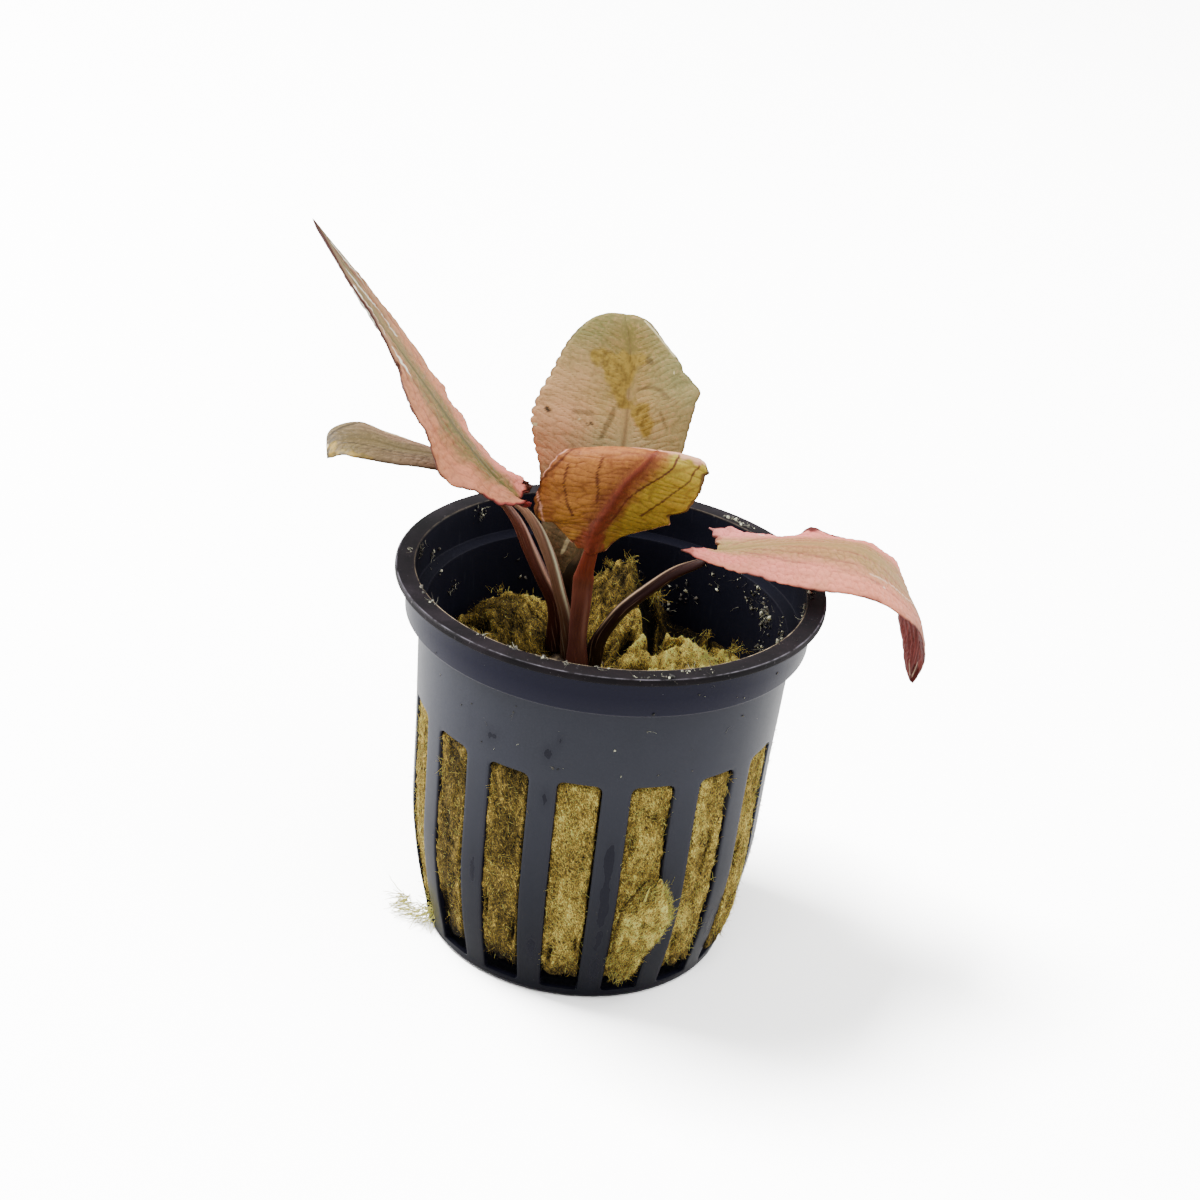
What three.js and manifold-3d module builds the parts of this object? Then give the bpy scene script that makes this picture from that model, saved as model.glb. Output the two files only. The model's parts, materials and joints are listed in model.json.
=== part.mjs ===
// A potted cryptocoryne: five leaves on a short rootstock, in a mineral wool plug, in a slotted net pot.
// Millimetres, +Z up. The origin is the centre of the pot's underside, and the front of the plant faces -Y.
// Angles round the pot are measured from -Y towards +X.

import * as THREE from 'three';
import { mergeVertices } from 'three/addons/utils/BufferGeometryUtils.js';
import Module from 'manifold-3d';

const wasm = await Module();
wasm.setup();

// Slots in the pot's wall
const SLOTS = 16;
const SLOT_PHASE = -2;
const SLOT_ANGLE = 13.7;
const SLOT_FOOT = 1.4;
const SLOT_TOP = 34.2;
const SLOT_CORNER = 1;
const SLOT_CUT = { from: 16, to: 28 };

// Clearance between pieces that touch
const GAP = 0.3;

// Driving dimensions of the net pot
const POT_HEIGHT = 51.5;
const FLANGE_RADIUS = 27.5;
const OPENING_RADIUS = 24.9;
const FLANGE_THICKNESS = 0.9;
const COLLAR_TOP_RADIUS = 26.2;
const COLLAR_FOOT_RADIUS = 25.85;
const COLLAR_FOOT = 45.5;
const WALL = 0.9;
const BASE_THICKNESS = 1.2;
const POT_SIDES = 3 * SLOTS;
// Radius and height of the body's outside, from the foot to the collar
const BODY = [[19.8, 0], [21.8, 8], [23, 16], [23.4, 30], [24.1, 45]];

// Drain holes in the base
const DRAINS = 8;
const DRAIN_RADIUS = 2.4;
const DRAIN_CIRCLE = 12;

// Mineral wool plug. The steps of its top are shares of its radius.
const PLUG_FOOT = 4;
const PLUG_LEVEL = 35.5;
const PLUG_SIDES = 6 * SLOTS;
const SLOT_SWELL = 0.75;
const EDGE_DROP = 2.5;
const SIDE_HEIGHTS = [PLUG_FOOT, 10, 18, 27, SLOT_TOP - 0.7];
const TOP_SHARES = [1, 0.95, 0.8, 0.6, 0.4, 0.2];
// Lumps and pits of the plug's top: x, y, height, spread
const LUMPS = {
  leftMound: [-13, 9, 6.5, 5.5],
  backMound: [2, 18, 9.3, 4.6],
  backRight: [12, 16, -4.5, 3.5],
  middle: [4, 9, 2.5, 4],
  rightShelf: [13, 6, 4.4, 5],
  frontPit: [-8, -4, -5.5, 5],
  crack: [7.5, 13.5, -5, 1.8],
  rightGap: [19, 10, -4, 4],
};
// Where the wool swells out of the slots: angle, height, how far, angular spread, height spread
const SWELLS = {
  rightFoot: [65.5, 8, 0.9, 5, 5],
};
// Torn flap that hangs out of a front slot: rows of height, left angle, right angle and lift off the pot
const FLAP_THICKNESS = 1.2;
const FLAP_ROOT = [15.5, 26];
const FLAP_ROWS = [[4.2, 16.6, 20, 0], [5.5, 15, 21.8, 0.4], [9, 14.8, 23.6, 0.9], [12.5, 14.8, 27.2, 1.3],
  [15.5, 15.5, 29.4, 1.5], [18, 18.5, 28.4, 1.2], [20.5, 22, 26.2, 0.5]];
// Wisp of wool at the left foot: angles of its root and tip, its reach from the axis, the tip's underside
// and top, and its width
const WISP = { angle: -68, tipAngle: -84, reach: 25.5, foot: 0.4, top: 1.2, width: 3.4 };

// Rootstock
const CROWN = { x: -3.4, y: 4.6, radius: 4.3, foot: 30.3, top: 36.2 };

// Leaf build: thickness of the blade, and steps along it, across half of it and round the stalk
const BLADE_THICKNESS = 0.5;
const BLADE_STEPS = 14;
const HALF_STEPS = 3;
const STALK_SIDES = 7;
const RIB_END_RADIUS = 0.3;
// Share of the rib's points along which it stands out under the blade
const RIB_REACH = 0.7;

// Each leaf: points of its stalk, then of its rib and its two edges from the stalk's end to the tip, the
// stalk's radius at its foot and at its end, and how far each half of the blade bows up as a share of its
// width.
const LEAVES = {
  leaf_tall: {
    stalk: [[-4.4, 4.6, 36.6], [-5.2, 3.8, 42], [-6.5, 3.2, 46.5], [-8, 3, 51], [-10, 3, 55], [-12, 3, 57.5]],
    rib: [[-14, 3, 59], [-17, 3.5, 62], [-20, 4, 65], [-24.5, 5, 70], [-29, 6, 75], [-32.5, 6.5, 79],
      [-36.5, 7.5, 84], [-41.5, 9, 90.5]],
    left: [[-11, -0.5, 60], [-13, -2, 60.5], [-15.5, -3, 61], [-18, -4, 62.5], [-21, -4.5, 63.5], [-23, -4, 65.5],
      [-24.5, -3, 68.5], [-26.5, -1.5, 71.5], [-28.5, 1, 74], [-30, 3, 76], [-33, 4.5, 80.5], [-36.5, 6, 84.5],
      [-41.3, 8.7, 90.5]],
    right: [[-12.5, 6, 59], [-12.5, 9, 59], [-15, 10.5, 59], [-17.5, 11.5, 60], [-20, 12, 63], [-24, 12, 68.5],
      [-27.5, 11.5, 73.5], [-31.5, 11, 78.5], [-35.5, 10, 83.5], [-41.7, 9.3, 90.5]],
    radii: [1, 0.95],
    bow: 0.02,
    colour: 0xd9a08c,
  },
  leaf_right: {
    stalk: [[-1.3, 3.2, 36.6], [-0.8, 2.7, 40], [0.2, 2.5, 42.5], [2, 2.5, 45.5], [5, 3, 48.5], [8, 3.5, 51],
      [11, 4, 52.5]],
    rib: [[13, 4, 54], [17.5, 4, 55.5], [22, 4, 56.5], [26, 4, 57], [30.5, 4, 57], [34, 4, 55.5], [37.5, 4, 52],
      [40, 4.5, 48], [41, 5, 44], [40.5, 4, 39]],
    left: [[12, 8, 55.5], [16, 9.5, 55], [20, 10.5, 54.5], [24, 11, 54.5], [28, 11, 55], [31.5, 11, 55],
      [34.5, 11, 54], [36.5, 11, 52.5], [37.5, 10.5, 49.5], [38, 9.5, 46], [39, 8, 43], [39.5, 6, 40.5],
      [40.3, 4.4, 39]],
    right: [[9, 0, 56], [11, -1, 55.5], [14, -2, 55], [18, -3, 55], [22.5, -3.5, 54.5], [26, -4, 54.5],
      [30, -4, 54.5], [34, -3.5, 53.5], [37, -2.5, 51.5], [39.5, -0.5, 49], [41, 1.5, 45.5], [41.5, 3, 42],
      [40.7, 3.6, 39]],
    radii: [1, 0.8],
    bow: 0.04,
    colour: 0xd99a94,
  },
  leaf_front: {
    stalk: [[-3.2, 2, 36.6], [-3.5, 1.5, 42], [-3.5, 1, 46.5], [-3.5, 1, 50.5]],
    rib: [[-3, 0.5, 54], [-2.5, 0, 58], [-1, -0.5, 61.5], [0.5, -1, 65], [2.5, -1, 67.5], [3.5, 0, 68.5],
      [4.5, 3, 67.5], [5, 5, 65.5]],
    left: [[-5, 1, 54.5], [-7, 1.5, 56], [-8.5, 2, 57], [-10, 2, 57], [-11, 2, 59], [-10.5, 2, 61],
      [-10, 1.5, 63.5], [-8, 2, 66.5], [-5, 4, 66], [-0.5, 5, 65.5]],
    right: [[-1.5, 1, 54], [0.5, 1.5, 56], [3, 2, 57], [5.5, 2, 58], [8, 2, 60], [9.5, 2, 62.5], [10, 2, 64.5],
      [10, 2.5, 67], [8.5, 5, 66], [6.5, 6, 65]],
    radii: [1.05, 1.1],
    bow: 0.04,
    colour: 0xa8602a,
  },
  leaf_back: {
    stalk: [[-3.2, 7.2, 36.6], [-4.3, 7, 42], [-5, 6.5, 45.5]],
    rib: [[-5.5, 6, 48], [-3.5, 7, 53], [-1.5, 8, 58.5], [-0.5, 9.5, 64.5], [-0.5, 11.5, 70.5], [-1, 14, 76.5],
      [-2, 16, 79.5], [-2, 18.5, 79.5]],
    left: [[-6.5, 6, 48], [-9, 6.5, 51.5], [-10, 7.5, 55], [-10.5, 8.5, 58.5], [-11, 9, 61.5], [-12, 9.5, 64.5],
      [-12.5, 10, 67.5], [-12, 11, 70], [-10.5, 12, 73.5], [-9, 13.5, 77], [-6.5, 15.5, 79.5], [-4, 17, 80]],
    right: [[-4.5, 6, 48.5], [-2, 7, 52.5], [3, 7.5, 56.5], [6, 8, 60.5], [7, 8.5, 64.5], [7.5, 9, 68],
      [8, 9.5, 72], [7.5, 10.5, 74], [6, 11.5, 76], [3.5, 13.5, 78], [1, 15.5, 80], [-1.5, 17, 80]],
    radii: [0.9, 0.9],
    bow: 0.04,
    colour: 0xa79470,
  },
  leaf_left: {
    stalk: [[-6.2, 6.4, 36.6], [-7, 6, 43], [-9, 6, 47], [-11, 6.5, 50.5], [-13, 7, 54], [-15.5, 8, 56.5]],
    rib: [[-18.5, 9, 58.5], [-21.5, 9.5, 60], [-25, 10, 60.5], [-29, 10.5, 60.5], [-33, 11, 61],
      [-36.5, 11.5, 60.5], [-38, 11.5, 59.5], [-38.5, 11, 58]],
    left: [[-20.5, 7.5, 59], [-23.5, 6.5, 60], [-26.5, 6, 60.5], [-29.5, 6, 60.5], [-33.5, 6.5, 60.5],
      [-36, 8, 60], [-38.5, 10.7, 58]],
    right: [[-21, 11.5, 59.5], [-24, 12.5, 60], [-28, 13.5, 60.5], [-31.5, 14.5, 61], [-35, 15.5, 61.5],
      [-37.5, 15.5, 61], [-39, 14, 60], [-38.6, 11.3, 58]],
    radii: [1.15, 0.9],
    bow: 0.04,
    colour: 0x9c8360,
  },
};

const radians = THREE.MathUtils.degToRad;

function vector(point) {
  return new THREE.Vector3(...point);
}

function rail(points) {
  return new THREE.CatmullRomCurve3(points.map(vector), false, 'catmullrom');
}

// A point at a radius and an angle round the pot
function around(radius, degrees, height) {
  const angle = radians(degrees);
  return new THREE.Vector3(radius * Math.sin(angle), -radius * Math.cos(angle), height);
}

// A closed mesh from a grid of rings, each ring a closed loop of points, with flat or given ends
function ringsGeometry(rings) {
  const count = rings[0].length;
  const points = rings.flat();
  const faces = [];
  for (let i = 0; i + 1 < rings.length; i += 1) {
    for (let j = 0; j < count; j += 1) {
      const a = i * count + j;
      const b = i * count + (j + 1) % count;
      faces.push(a, b, b + count, a, b + count, a + count);
    }
  }
  const last = (rings.length - 1) * count;
  for (const [start, flip] of [[0, true], [last, false]]) {
    const middle = points.length;
    const ring = points.slice(start, start + count);
    points.push(ring.reduce((sum, p) => sum.add(p), new THREE.Vector3()).divideScalar(count));
    for (let j = 0; j < count; j += 1) {
      const a = start + j;
      const b = start + (j + 1) % count;
      faces.push(...(flip ? [b, a, middle] : [a, b, middle]));
    }
  }
  return indexed(points, faces);
}

function indexed(points, faces) {
  const geometry = new THREE.BufferGeometry().setFromPoints(points);
  geometry.setIndex(faces);
  return geometry;
}

// The library's solid of a closed mesh, turned so that its faces point out
function solid(geometry) {
  const bare = geometry.clone();
  bare.deleteAttribute('normal');
  bare.deleteAttribute('uv');
  const merged = mergeVertices(bare, 1e-4);
  const vertProperties = new Float32Array(merged.attributes.position.array);
  const triVerts = new Uint32Array(merged.index.array);
  if (signedVolume(vertProperties, triVerts) < 0) {
    for (let i = 0; i < triVerts.length; i += 3) {
      [triVerts[i], triVerts[i + 1]] = [triVerts[i + 1], triVerts[i]];
    }
  }
  return new wasm.Manifold(new wasm.Mesh({ numProp: 3, vertProperties, triVerts }));
}

function signedVolume(coordinates, triangles) {
  const corner = (i) => new THREE.Vector3().fromArray(coordinates, 3 * triangles[i]);
  let total = 0;
  for (let i = 0; i < triangles.length; i += 3) {
    total += corner(i).dot(corner(i + 1).cross(corner(i + 2)));
  }
  return total / 6;
}

function geometryOf(manifold) {
  const mesh = manifold.getMesh();
  const geometry = new THREE.BufferGeometry();
  geometry.setAttribute('position', new THREE.BufferAttribute(new Float32Array(mesh.vertProperties), 3));
  geometry.setIndex(Array.from(mesh.triVerts));
  return geometry;
}

// Outer radius of the pot's body at a height
function bodyRadius(height) {
  const upper = BODY.findIndex(([, z]) => z >= height);
  const k = Math.min(Math.max(upper === -1 ? BODY.length - 1 : upper, 1), BODY.length - 1);
  const [[r0, z0], [r1, z1]] = [BODY[k - 1], BODY[k]];
  return THREE.MathUtils.mapLinear(height, z0, z1, r0, r1);
}

function potSolid() {
  const under = POT_HEIGHT - FLANGE_THICKNESS;
  const inside = BODY.filter(([, z]) => z > BASE_THICKNESS).map(([r, z]) => [r - WALL, z]).reverse();
  const profile = [
    [0, 0],
    ...BODY,
    [COLLAR_FOOT_RADIUS, COLLAR_FOOT],
    [COLLAR_TOP_RADIUS, under],
    [FLANGE_RADIUS, under],
    [FLANGE_RADIUS, POT_HEIGHT],
    [OPENING_RADIUS, POT_HEIGHT],
    [OPENING_RADIUS, COLLAR_FOOT + WALL],
    ...inside,
    [bodyRadius(BASE_THICKNESS) - WALL, BASE_THICKNESS],
    [0, BASE_THICKNESS],
  ];
  const turned = new THREE.LatheGeometry(profile.map(([r, z]) => new THREE.Vector2(r, z)), POT_SIDES);
  turned.rotateX(Math.PI / 2);
  let pot = solid(turned);
  for (let k = 0; k < SLOTS; k += 1) {
    pot = pot.subtract(slotCutter(SLOT_PHASE + k * 360 / SLOTS));
  }
  for (let k = 0; k < DRAINS; k += 1) {
    const hole = new THREE.CylinderGeometry(DRAIN_RADIUS, DRAIN_RADIUS, 4 * BASE_THICKNESS, 12);
    const place = around(DRAIN_CIRCLE, k * 360 / DRAINS, BASE_THICKNESS / 2);
    pot = pot.subtract(solid(hole.rotateX(Math.PI / 2).translate(place.x, place.y, place.z)));
  }
  return pot;
}

// A radial prism as wide as the slot, with round upper corners
function slotCutter(degrees) {
  const half = (height) => bodyRadius(height) * Math.sin(radians(SLOT_ANGLE / 2));
  const [low, high] = [half(SLOT_FOOT), half(SLOT_TOP)];
  const shape = new THREE.Shape();
  shape.moveTo(-low, SLOT_FOOT);
  shape.lineTo(low, SLOT_FOOT);
  shape.lineTo(high, SLOT_TOP - SLOT_CORNER);
  shape.quadraticCurveTo(high, SLOT_TOP, high - SLOT_CORNER, SLOT_TOP);
  shape.lineTo(SLOT_CORNER - high, SLOT_TOP);
  shape.quadraticCurveTo(-high, SLOT_TOP, -high, SLOT_TOP - SLOT_CORNER);
  shape.closePath();
  const depth = SLOT_CUT.to - SLOT_CUT.from;
  const cutter = new THREE.ExtrudeGeometry(shape, { depth, bevelEnabled: false, curveSegments: 3 });
  const across = around(1, degrees + 90, 0);
  const outward = around(1, degrees, 0);
  const up = new THREE.Vector3(0, 0, 1);
  const place = new THREE.Matrix4().makeBasis(across, up, outward);
  place.setPosition(outward.clone().multiplyScalar(SLOT_CUT.from));
  return solid(cutter.applyMatrix4(place));
}

// Height of the plug's top, which falls away near the wall
function plugTop(x, y) {
  const lumps = Object.values(LUMPS).map(([cx, cy, rise, spread]) => {
    const far = (x - cx) ** 2 + (y - cy) ** 2;
    return rise * Math.exp(-far / (2 * spread ** 2));
  });
  const share = Math.hypot(x, y) / bodyRadius(PLUG_LEVEL);
  return PLUG_LEVEL + lumps.reduce((sum, lump) => sum + lump, 0) - EDGE_DROP * share ** 8;
}

// How far the wool swells out of the slots at an angle and a height
function swell(degrees, height) {
  const pitch = 360 / SLOTS;
  const off = THREE.MathUtils.euclideanModulo(degrees - SLOT_PHASE + pitch / 2, pitch) - pitch / 2;
  if (Math.abs(off) > SLOT_ANGLE / 3 || height > SLOT_TOP - 1.5) {
    return 0;
  }
  const extra = Object.values(SWELLS).map(([angle, level, rise, turn, spread]) => {
    const far = ((degrees - angle) / turn) ** 2 + ((height - level) / spread) ** 2;
    return rise * Math.exp(-far / 2);
  });
  return SLOT_SWELL + extra.reduce((sum, lump) => sum + lump, 0);
}

function plugSolid(stalks) {
  const angles = Array.from({ length: PLUG_SIDES }, (_, k) => SLOT_PHASE + k * 360 / PLUG_SIDES);
  const side = SIDE_HEIGHTS.map((z) => angles.map((a) => around(bodyRadius(z) - WALL - GAP + swell(a, z), a, z)));
  const edge = bodyRadius(PLUG_LEVEL) - WALL - GAP;
  const top = TOP_SHARES.map((share) => angles.map((a) => {
    const p = around(edge * share, a, 0);
    p.z = share === 1 ? Math.max(plugTop(p.x, p.y) - 1, SLOT_TOP) : plugTop(p.x, p.y);
    return p;
  }));
  const { x, y, radius, foot } = CROWN;
  const depth = 20;
  const pocket = new THREE.CylinderGeometry(radius + GAP, radius + GAP, depth, 24).rotateX(Math.PI / 2);
  let plug = solid(ringsGeometry([...side, ...top])).add(flapSolid()).add(wispSolid());
  plug = plug.subtract(solid(pocket.translate(x, y, foot - GAP + depth / 2)));
  return stalks.reduce((rest, stalk) => rest.subtract(stalk), plug);
}

// The torn flap: it leaves the plug through a front slot and lies over the rib to its right
function flapSolid() {
  const loop = ([z, left, right, lift]) => {
    const shares = [0, 0.25, 0.5, 0.75, 1];
    const back = shares.map((share) => {
      const angle = THREE.MathUtils.lerp(left, right, share);
      return around(bodyRadius(z) + GAP + lift * share, angle, z);
    });
    const front = shares.map((share) => {
      const angle = THREE.MathUtils.lerp(left, right, share);
      return around(bodyRadius(z) + GAP + lift * share + FLAP_THICKNESS, angle, z);
    });
    return [...back, ...front.reverse()];
  };
  const root = ([z, left, right]) => {
    const from = Math.max(FLAP_ROOT[0], left + 0.7);
    const to = Math.min(FLAP_ROOT[1], right - 0.7);
    const inner = bodyRadius(z) - WALL - 1.5;
    const outer = bodyRadius(z) + GAP + FLAP_THICKNESS / 2;
    return [around(inner, from, z), around(inner, to, z), around(outer, to, z), around(outer, from, z)];
  };
  return solid(ringsGeometry(FLAP_ROWS.map(loop))).add(solid(ringsGeometry(FLAP_ROWS.map(root))));
}

// The thin wisp: a flat tapering tongue out of a left slot, just above the ground
function wispSolid() {
  const { angle, tipAngle, reach, foot, top, width } = WISP;
  const steps = [0, 0.35, 0.7, 1];
  const start = bodyRadius(PLUG_FOOT) - WALL - 2;
  const rings = steps.map((share) => {
    const a = THREE.MathUtils.lerp(angle, tipAngle, share ** 2);
    const middle = around(THREE.MathUtils.lerp(start, reach, share), a, 0);
    const wide = width / 2 * (1 - 0.7 * share);
    const across = around(1, a + 90, 0).multiplyScalar(wide);
    const low = THREE.MathUtils.lerp(SLOT_FOOT + GAP, foot, share ** 2);
    const high = THREE.MathUtils.lerp(PLUG_FOOT + 1, top, share);
    const corner = (sign, z) => middle.clone().addScaledVector(across, sign).setZ(z);
    return [corner(-1, low), corner(1, low), corner(1, high), corner(-1, high)];
  });
  return solid(ringsGeometry(rings));
}

function crownSolid() {
  const { x, y, radius, foot, top } = CROWN;
  const profile = [[0, foot], [radius * 0.7, foot], [radius, foot + 2], [radius, top - 1.5],
    [radius * 0.85, top - 0.3], [radius * 0.5, top], [0, top]];
  const turned = new THREE.LatheGeometry(profile.map(([r, z]) => new THREE.Vector2(r, z)), 24);
  return solid(turned.rotateX(Math.PI / 2).translate(x, y, 0));
}

// A tapering round stem along a curve
function stemSolid(points, radii, grow = 0) {
  const curve = rail(points);
  const steps = Math.round(1.4 * points.length);
  const frames = curve.computeFrenetFrames(steps, false);
  const rings = Array.from({ length: steps + 1 }, (_, i) => {
    const centre = curve.getPointAt(i / steps);
    const radius = grow + radii(i / steps);
    return Array.from({ length: STALK_SIDES }, (__, j) => {
      const turn = 2 * Math.PI * j / STALK_SIDES;
      return centre.clone()
        .addScaledVector(frames.normals[i], radius * Math.cos(turn))
        .addScaledVector(frames.binormals[i], radius * Math.sin(turn));
    });
  });
  return solid(ringsGeometry(rings));
}

// The blade: a thin sheet between its two edges, creased along its rib
function bladeSolid({ rib, left, right, bow }) {
  const curves = [left, rib, right].map(rail);
  const across = 2 * HALF_STEPS;
  const sheet = Array.from({ length: BLADE_STEPS + 1 }, (_, i) => {
    const along = i / BLADE_STEPS;
    const [leftEdge, middle, rightEdge] = curves.map((curve) => curve.getPointAt(along));
    const up = new THREE.Vector3().crossVectors(rightEdge.clone().sub(leftEdge), curves[1].getTangentAt(along));
    up.normalize();
    return Array.from({ length: across + 1 }, (__, j) => {
      const edge = j < HALF_STEPS ? leftEdge : rightEdge;
      const out = Math.abs(j - HALF_STEPS) / HALF_STEPS;
      const rise = 4 * bow * out * (1 - out) * middle.distanceTo(edge);
      return middle.clone().lerp(edge, out).addScaledVector(up, rise);
    });
  });
  const at = (i, j) => sheet[Math.min(Math.max(i, 0), BLADE_STEPS)][Math.min(Math.max(j, 0), across)];
  const half = BLADE_THICKNESS / 2;
  const rings = sheet.map((row, i) => {
    const normals = row.map((_, j) => {
      const forward = at(i + 1, j).clone().sub(at(i - 1, j));
      const sideways = at(i, j + 1).clone().sub(at(i, j - 1));
      return sideways.cross(forward).normalize();
    });
    const upper = row.map((p, j) => p.clone().addScaledVector(normals[j], half));
    const lower = row.map((p, j) => p.clone().addScaledVector(normals[j], -half));
    return [...upper, ...lower.reverse()];
  });
  return solid(sheetGeometry(rings, across + 1));
}

// Rings of a flat sheet, whose two ends are closed across the thickness
function sheetGeometry(rings, width) {
  const count = 2 * width;
  const faces = [];
  for (let i = 0; i + 1 < rings.length; i += 1) {
    for (let j = 0; j < count; j += 1) {
      const a = i * count + j;
      const b = i * count + (j + 1) % count;
      faces.push(a, b, b + count, a, b + count, a + count);
    }
  }
  for (const [start, flip] of [[0, true], [(rings.length - 1) * count, false]]) {
    for (let j = 0; j + 1 < width; j += 1) {
      const quad = [start + j, start + j + 1, start + count - 2 - j, start + count - 1 - j];
      const [a, b, c, d] = flip ? quad.reverse() : quad;
      faces.push(a, b, c, a, c, d);
    }
  }
  return indexed(rings.flat(), faces);
}

// Points of the stem that runs up the stalk and on under the blade
function stemPoints({ stalk, rib }) {
  return [...stalk, ...rib.slice(0, Math.ceil(RIB_REACH * rib.length))];
}

function stemRadii({ stalk, radii }, points) {
  const end = stalk.length / points.length;
  return (share) => (share < end
    ? THREE.MathUtils.lerp(radii[0], radii[1], share / end)
    : THREE.MathUtils.lerp(radii[1], RIB_END_RADIUS, (share - end) / (1 - end)));
}

function leafStem(leaf, grow = 0) {
  const points = stemPoints(leaf);
  return stemSolid(points, stemRadii(leaf, points), grow);
}

function part(name, manifold, colour, roughness) {
  const material = new THREE.MeshStandardMaterial({ color: colour, roughness, metalness: 0 });
  const mesh = new THREE.Mesh(geometryOf(manifold), material);
  mesh.name = name;
  return mesh;
}

const plant = new THREE.Group();
const clearances = Object.values(LEAVES).map((leaf) => leafStem(leaf, GAP));
plant.add(part('net_pot', potSolid(), 0x3c3e4b, 0.45));
plant.add(part('rockwool_plug', plugSolid(clearances), 0x8a7a3a, 0.95));
plant.add(part('crown', crownSolid(), 0x8c7f66, 0.8));
for (const [name, leaf] of Object.entries(LEAVES)) {
  plant.add(part(name, bladeSolid(leaf).add(leafStem(leaf)), leaf.colour, 0.6));
}

export default plant;
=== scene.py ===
"""Looks of a potted cryptocoryne: a slotted net pot, its mineral wool plug, and five leaves on a rootstock.

Lengths are in millimetres until a mesh is made, which is in metres. +Z is up, the origin is the centre of
the pot's underside, and the plant's front faces -Y. Angles round the pot run from -Y towards +X, in degrees.
"""

import json
import math

import bmesh
import bpy
import numpy as np
from mathutils import Matrix, Vector

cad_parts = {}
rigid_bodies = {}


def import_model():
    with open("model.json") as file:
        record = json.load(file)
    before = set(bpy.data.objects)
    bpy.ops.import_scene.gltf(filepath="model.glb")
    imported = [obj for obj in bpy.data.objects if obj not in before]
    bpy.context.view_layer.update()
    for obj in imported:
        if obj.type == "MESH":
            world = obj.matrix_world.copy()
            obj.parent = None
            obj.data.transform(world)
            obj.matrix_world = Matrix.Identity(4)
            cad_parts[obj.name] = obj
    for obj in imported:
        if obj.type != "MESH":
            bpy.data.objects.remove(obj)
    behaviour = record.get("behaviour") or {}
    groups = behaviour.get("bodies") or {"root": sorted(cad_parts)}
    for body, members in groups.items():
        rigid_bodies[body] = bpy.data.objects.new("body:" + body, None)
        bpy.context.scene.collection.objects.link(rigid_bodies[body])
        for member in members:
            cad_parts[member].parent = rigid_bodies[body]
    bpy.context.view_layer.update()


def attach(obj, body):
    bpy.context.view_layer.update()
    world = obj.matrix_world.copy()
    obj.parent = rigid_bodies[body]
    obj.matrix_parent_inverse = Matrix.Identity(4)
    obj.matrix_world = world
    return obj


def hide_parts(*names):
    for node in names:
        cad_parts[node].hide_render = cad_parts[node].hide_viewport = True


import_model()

MM = 0.001
UP = np.array([0, 0, 1.0])
BODY = "root"

# Camera: its place in millimetres, its two axes, its focal length on a 36 mm sensor, and its clip in metres
CAMERA_PLACE = (0.2, -265.883, 182.425)
CAMERA_AHEAD = (-0.004436, 0.891874, -0.452261)
CAMERA_RIGHT = (0.993129, 0.056819, 0.102308)
CAMERA_LENS = 70.04
CAMERA_SENSOR = 36
CAMERA_CLIP = (0.01, 20)

# Ground and lamps, in metres. A sheet is its name, height, white, and whether the camera sees it. A lamp is
# its name, place, size, power, and whether it lights the seen ground alone. All lamps aim at one place.
WORLD_BRIGHTNESS = 0.8
GROUND_HALF = 4.0
SHEETS = (("floor", 0.0, 0.86, True), ("floor_bounce", -0.0002, 0.55, False))
AIM = (0, 0, 0.03)
LAMPS = (
    ("top", (0.1, 0.05, 0.8), (0.9, 0.9), 8, False),
    ("left", (-0.6, 0.2, 0.3), (0.6, 0.7), 11.5, False),
    ("right", (0.6, 0.3, 0.3), (0.5, 0.6), 4.5, False),
    ("backdrop_left", (-0.9, 0.3, 1.9), (0.8, 0.8), 590, True),
    ("backdrop_right", (0.7, -0.6, 1.9), (1.6, 1.6), 110, True),
)
# Brightness of a white surface under these lamps
STUDIO = 2.0

# Net pot
SLOTS = 16
PITCH = 360 / SLOTS
SLOT_PHASE = -2
SLOT_ANGLE = 13.7
SLOT_FOOT = 1.4
SLOT_TOP = 34.2
SLOT_CORNER = 1.0
SLOT_FOOT_CORNER = 0.4
SLOT_EDGE = 0.17
POT_HEIGHT = 51.5
FLANGE_RADIUS = 27.5
OPENING_RADIUS = 24.9
FLANGE_THICKNESS = 0.9
COLLAR_TOP_RADIUS = 26.2
COLLAR_FOOT_RADIUS = 25.85
COLLAR_FOOT = 45.5
COLLAR_ROOT_RADIUS = 24.08
WALL = 0.9
BASE_THICKNESS = 1.2
BASE_RADIUS = 19.65
BODY_HEIGHTS = (0, 8, 16, 30, 45)
BODY_RADII = (19.8, 21.8, 23, 23.4, 24.1)
SHOULDER_RADIUS, SHOULDER = 23.85, 40
# Inside of the pot above the wool
INSIDE_HEIGHTS = (36, COLLAR_FOOT + 0.5, COLLAR_FOOT + 1, POT_HEIGHT)
INSIDE_RADII = (22.7, 23.15, 24.7, 24.8)
DRAINS = 8
DRAIN_RADIUS = 2.4
DRAIN_CIRCLE = 12
# Each slot lies in a cell of the wall, and each drain hole in a cell of the base, round a small hub
CELL_FOOT, CELL_TOP = 0.6, SLOT_TOP + 1.6
CELL_RADIUS = 23
CELL_LAYERS = 5
DRAIN_BAND = 5
DRAIN_SHARES = (0, 0.4, 0.8, 1)
HUB_RADIUS, HUB_HOLE = 0.6, 0.001
PROFILE_STEP = 1.6
WELD = 0.004
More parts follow.
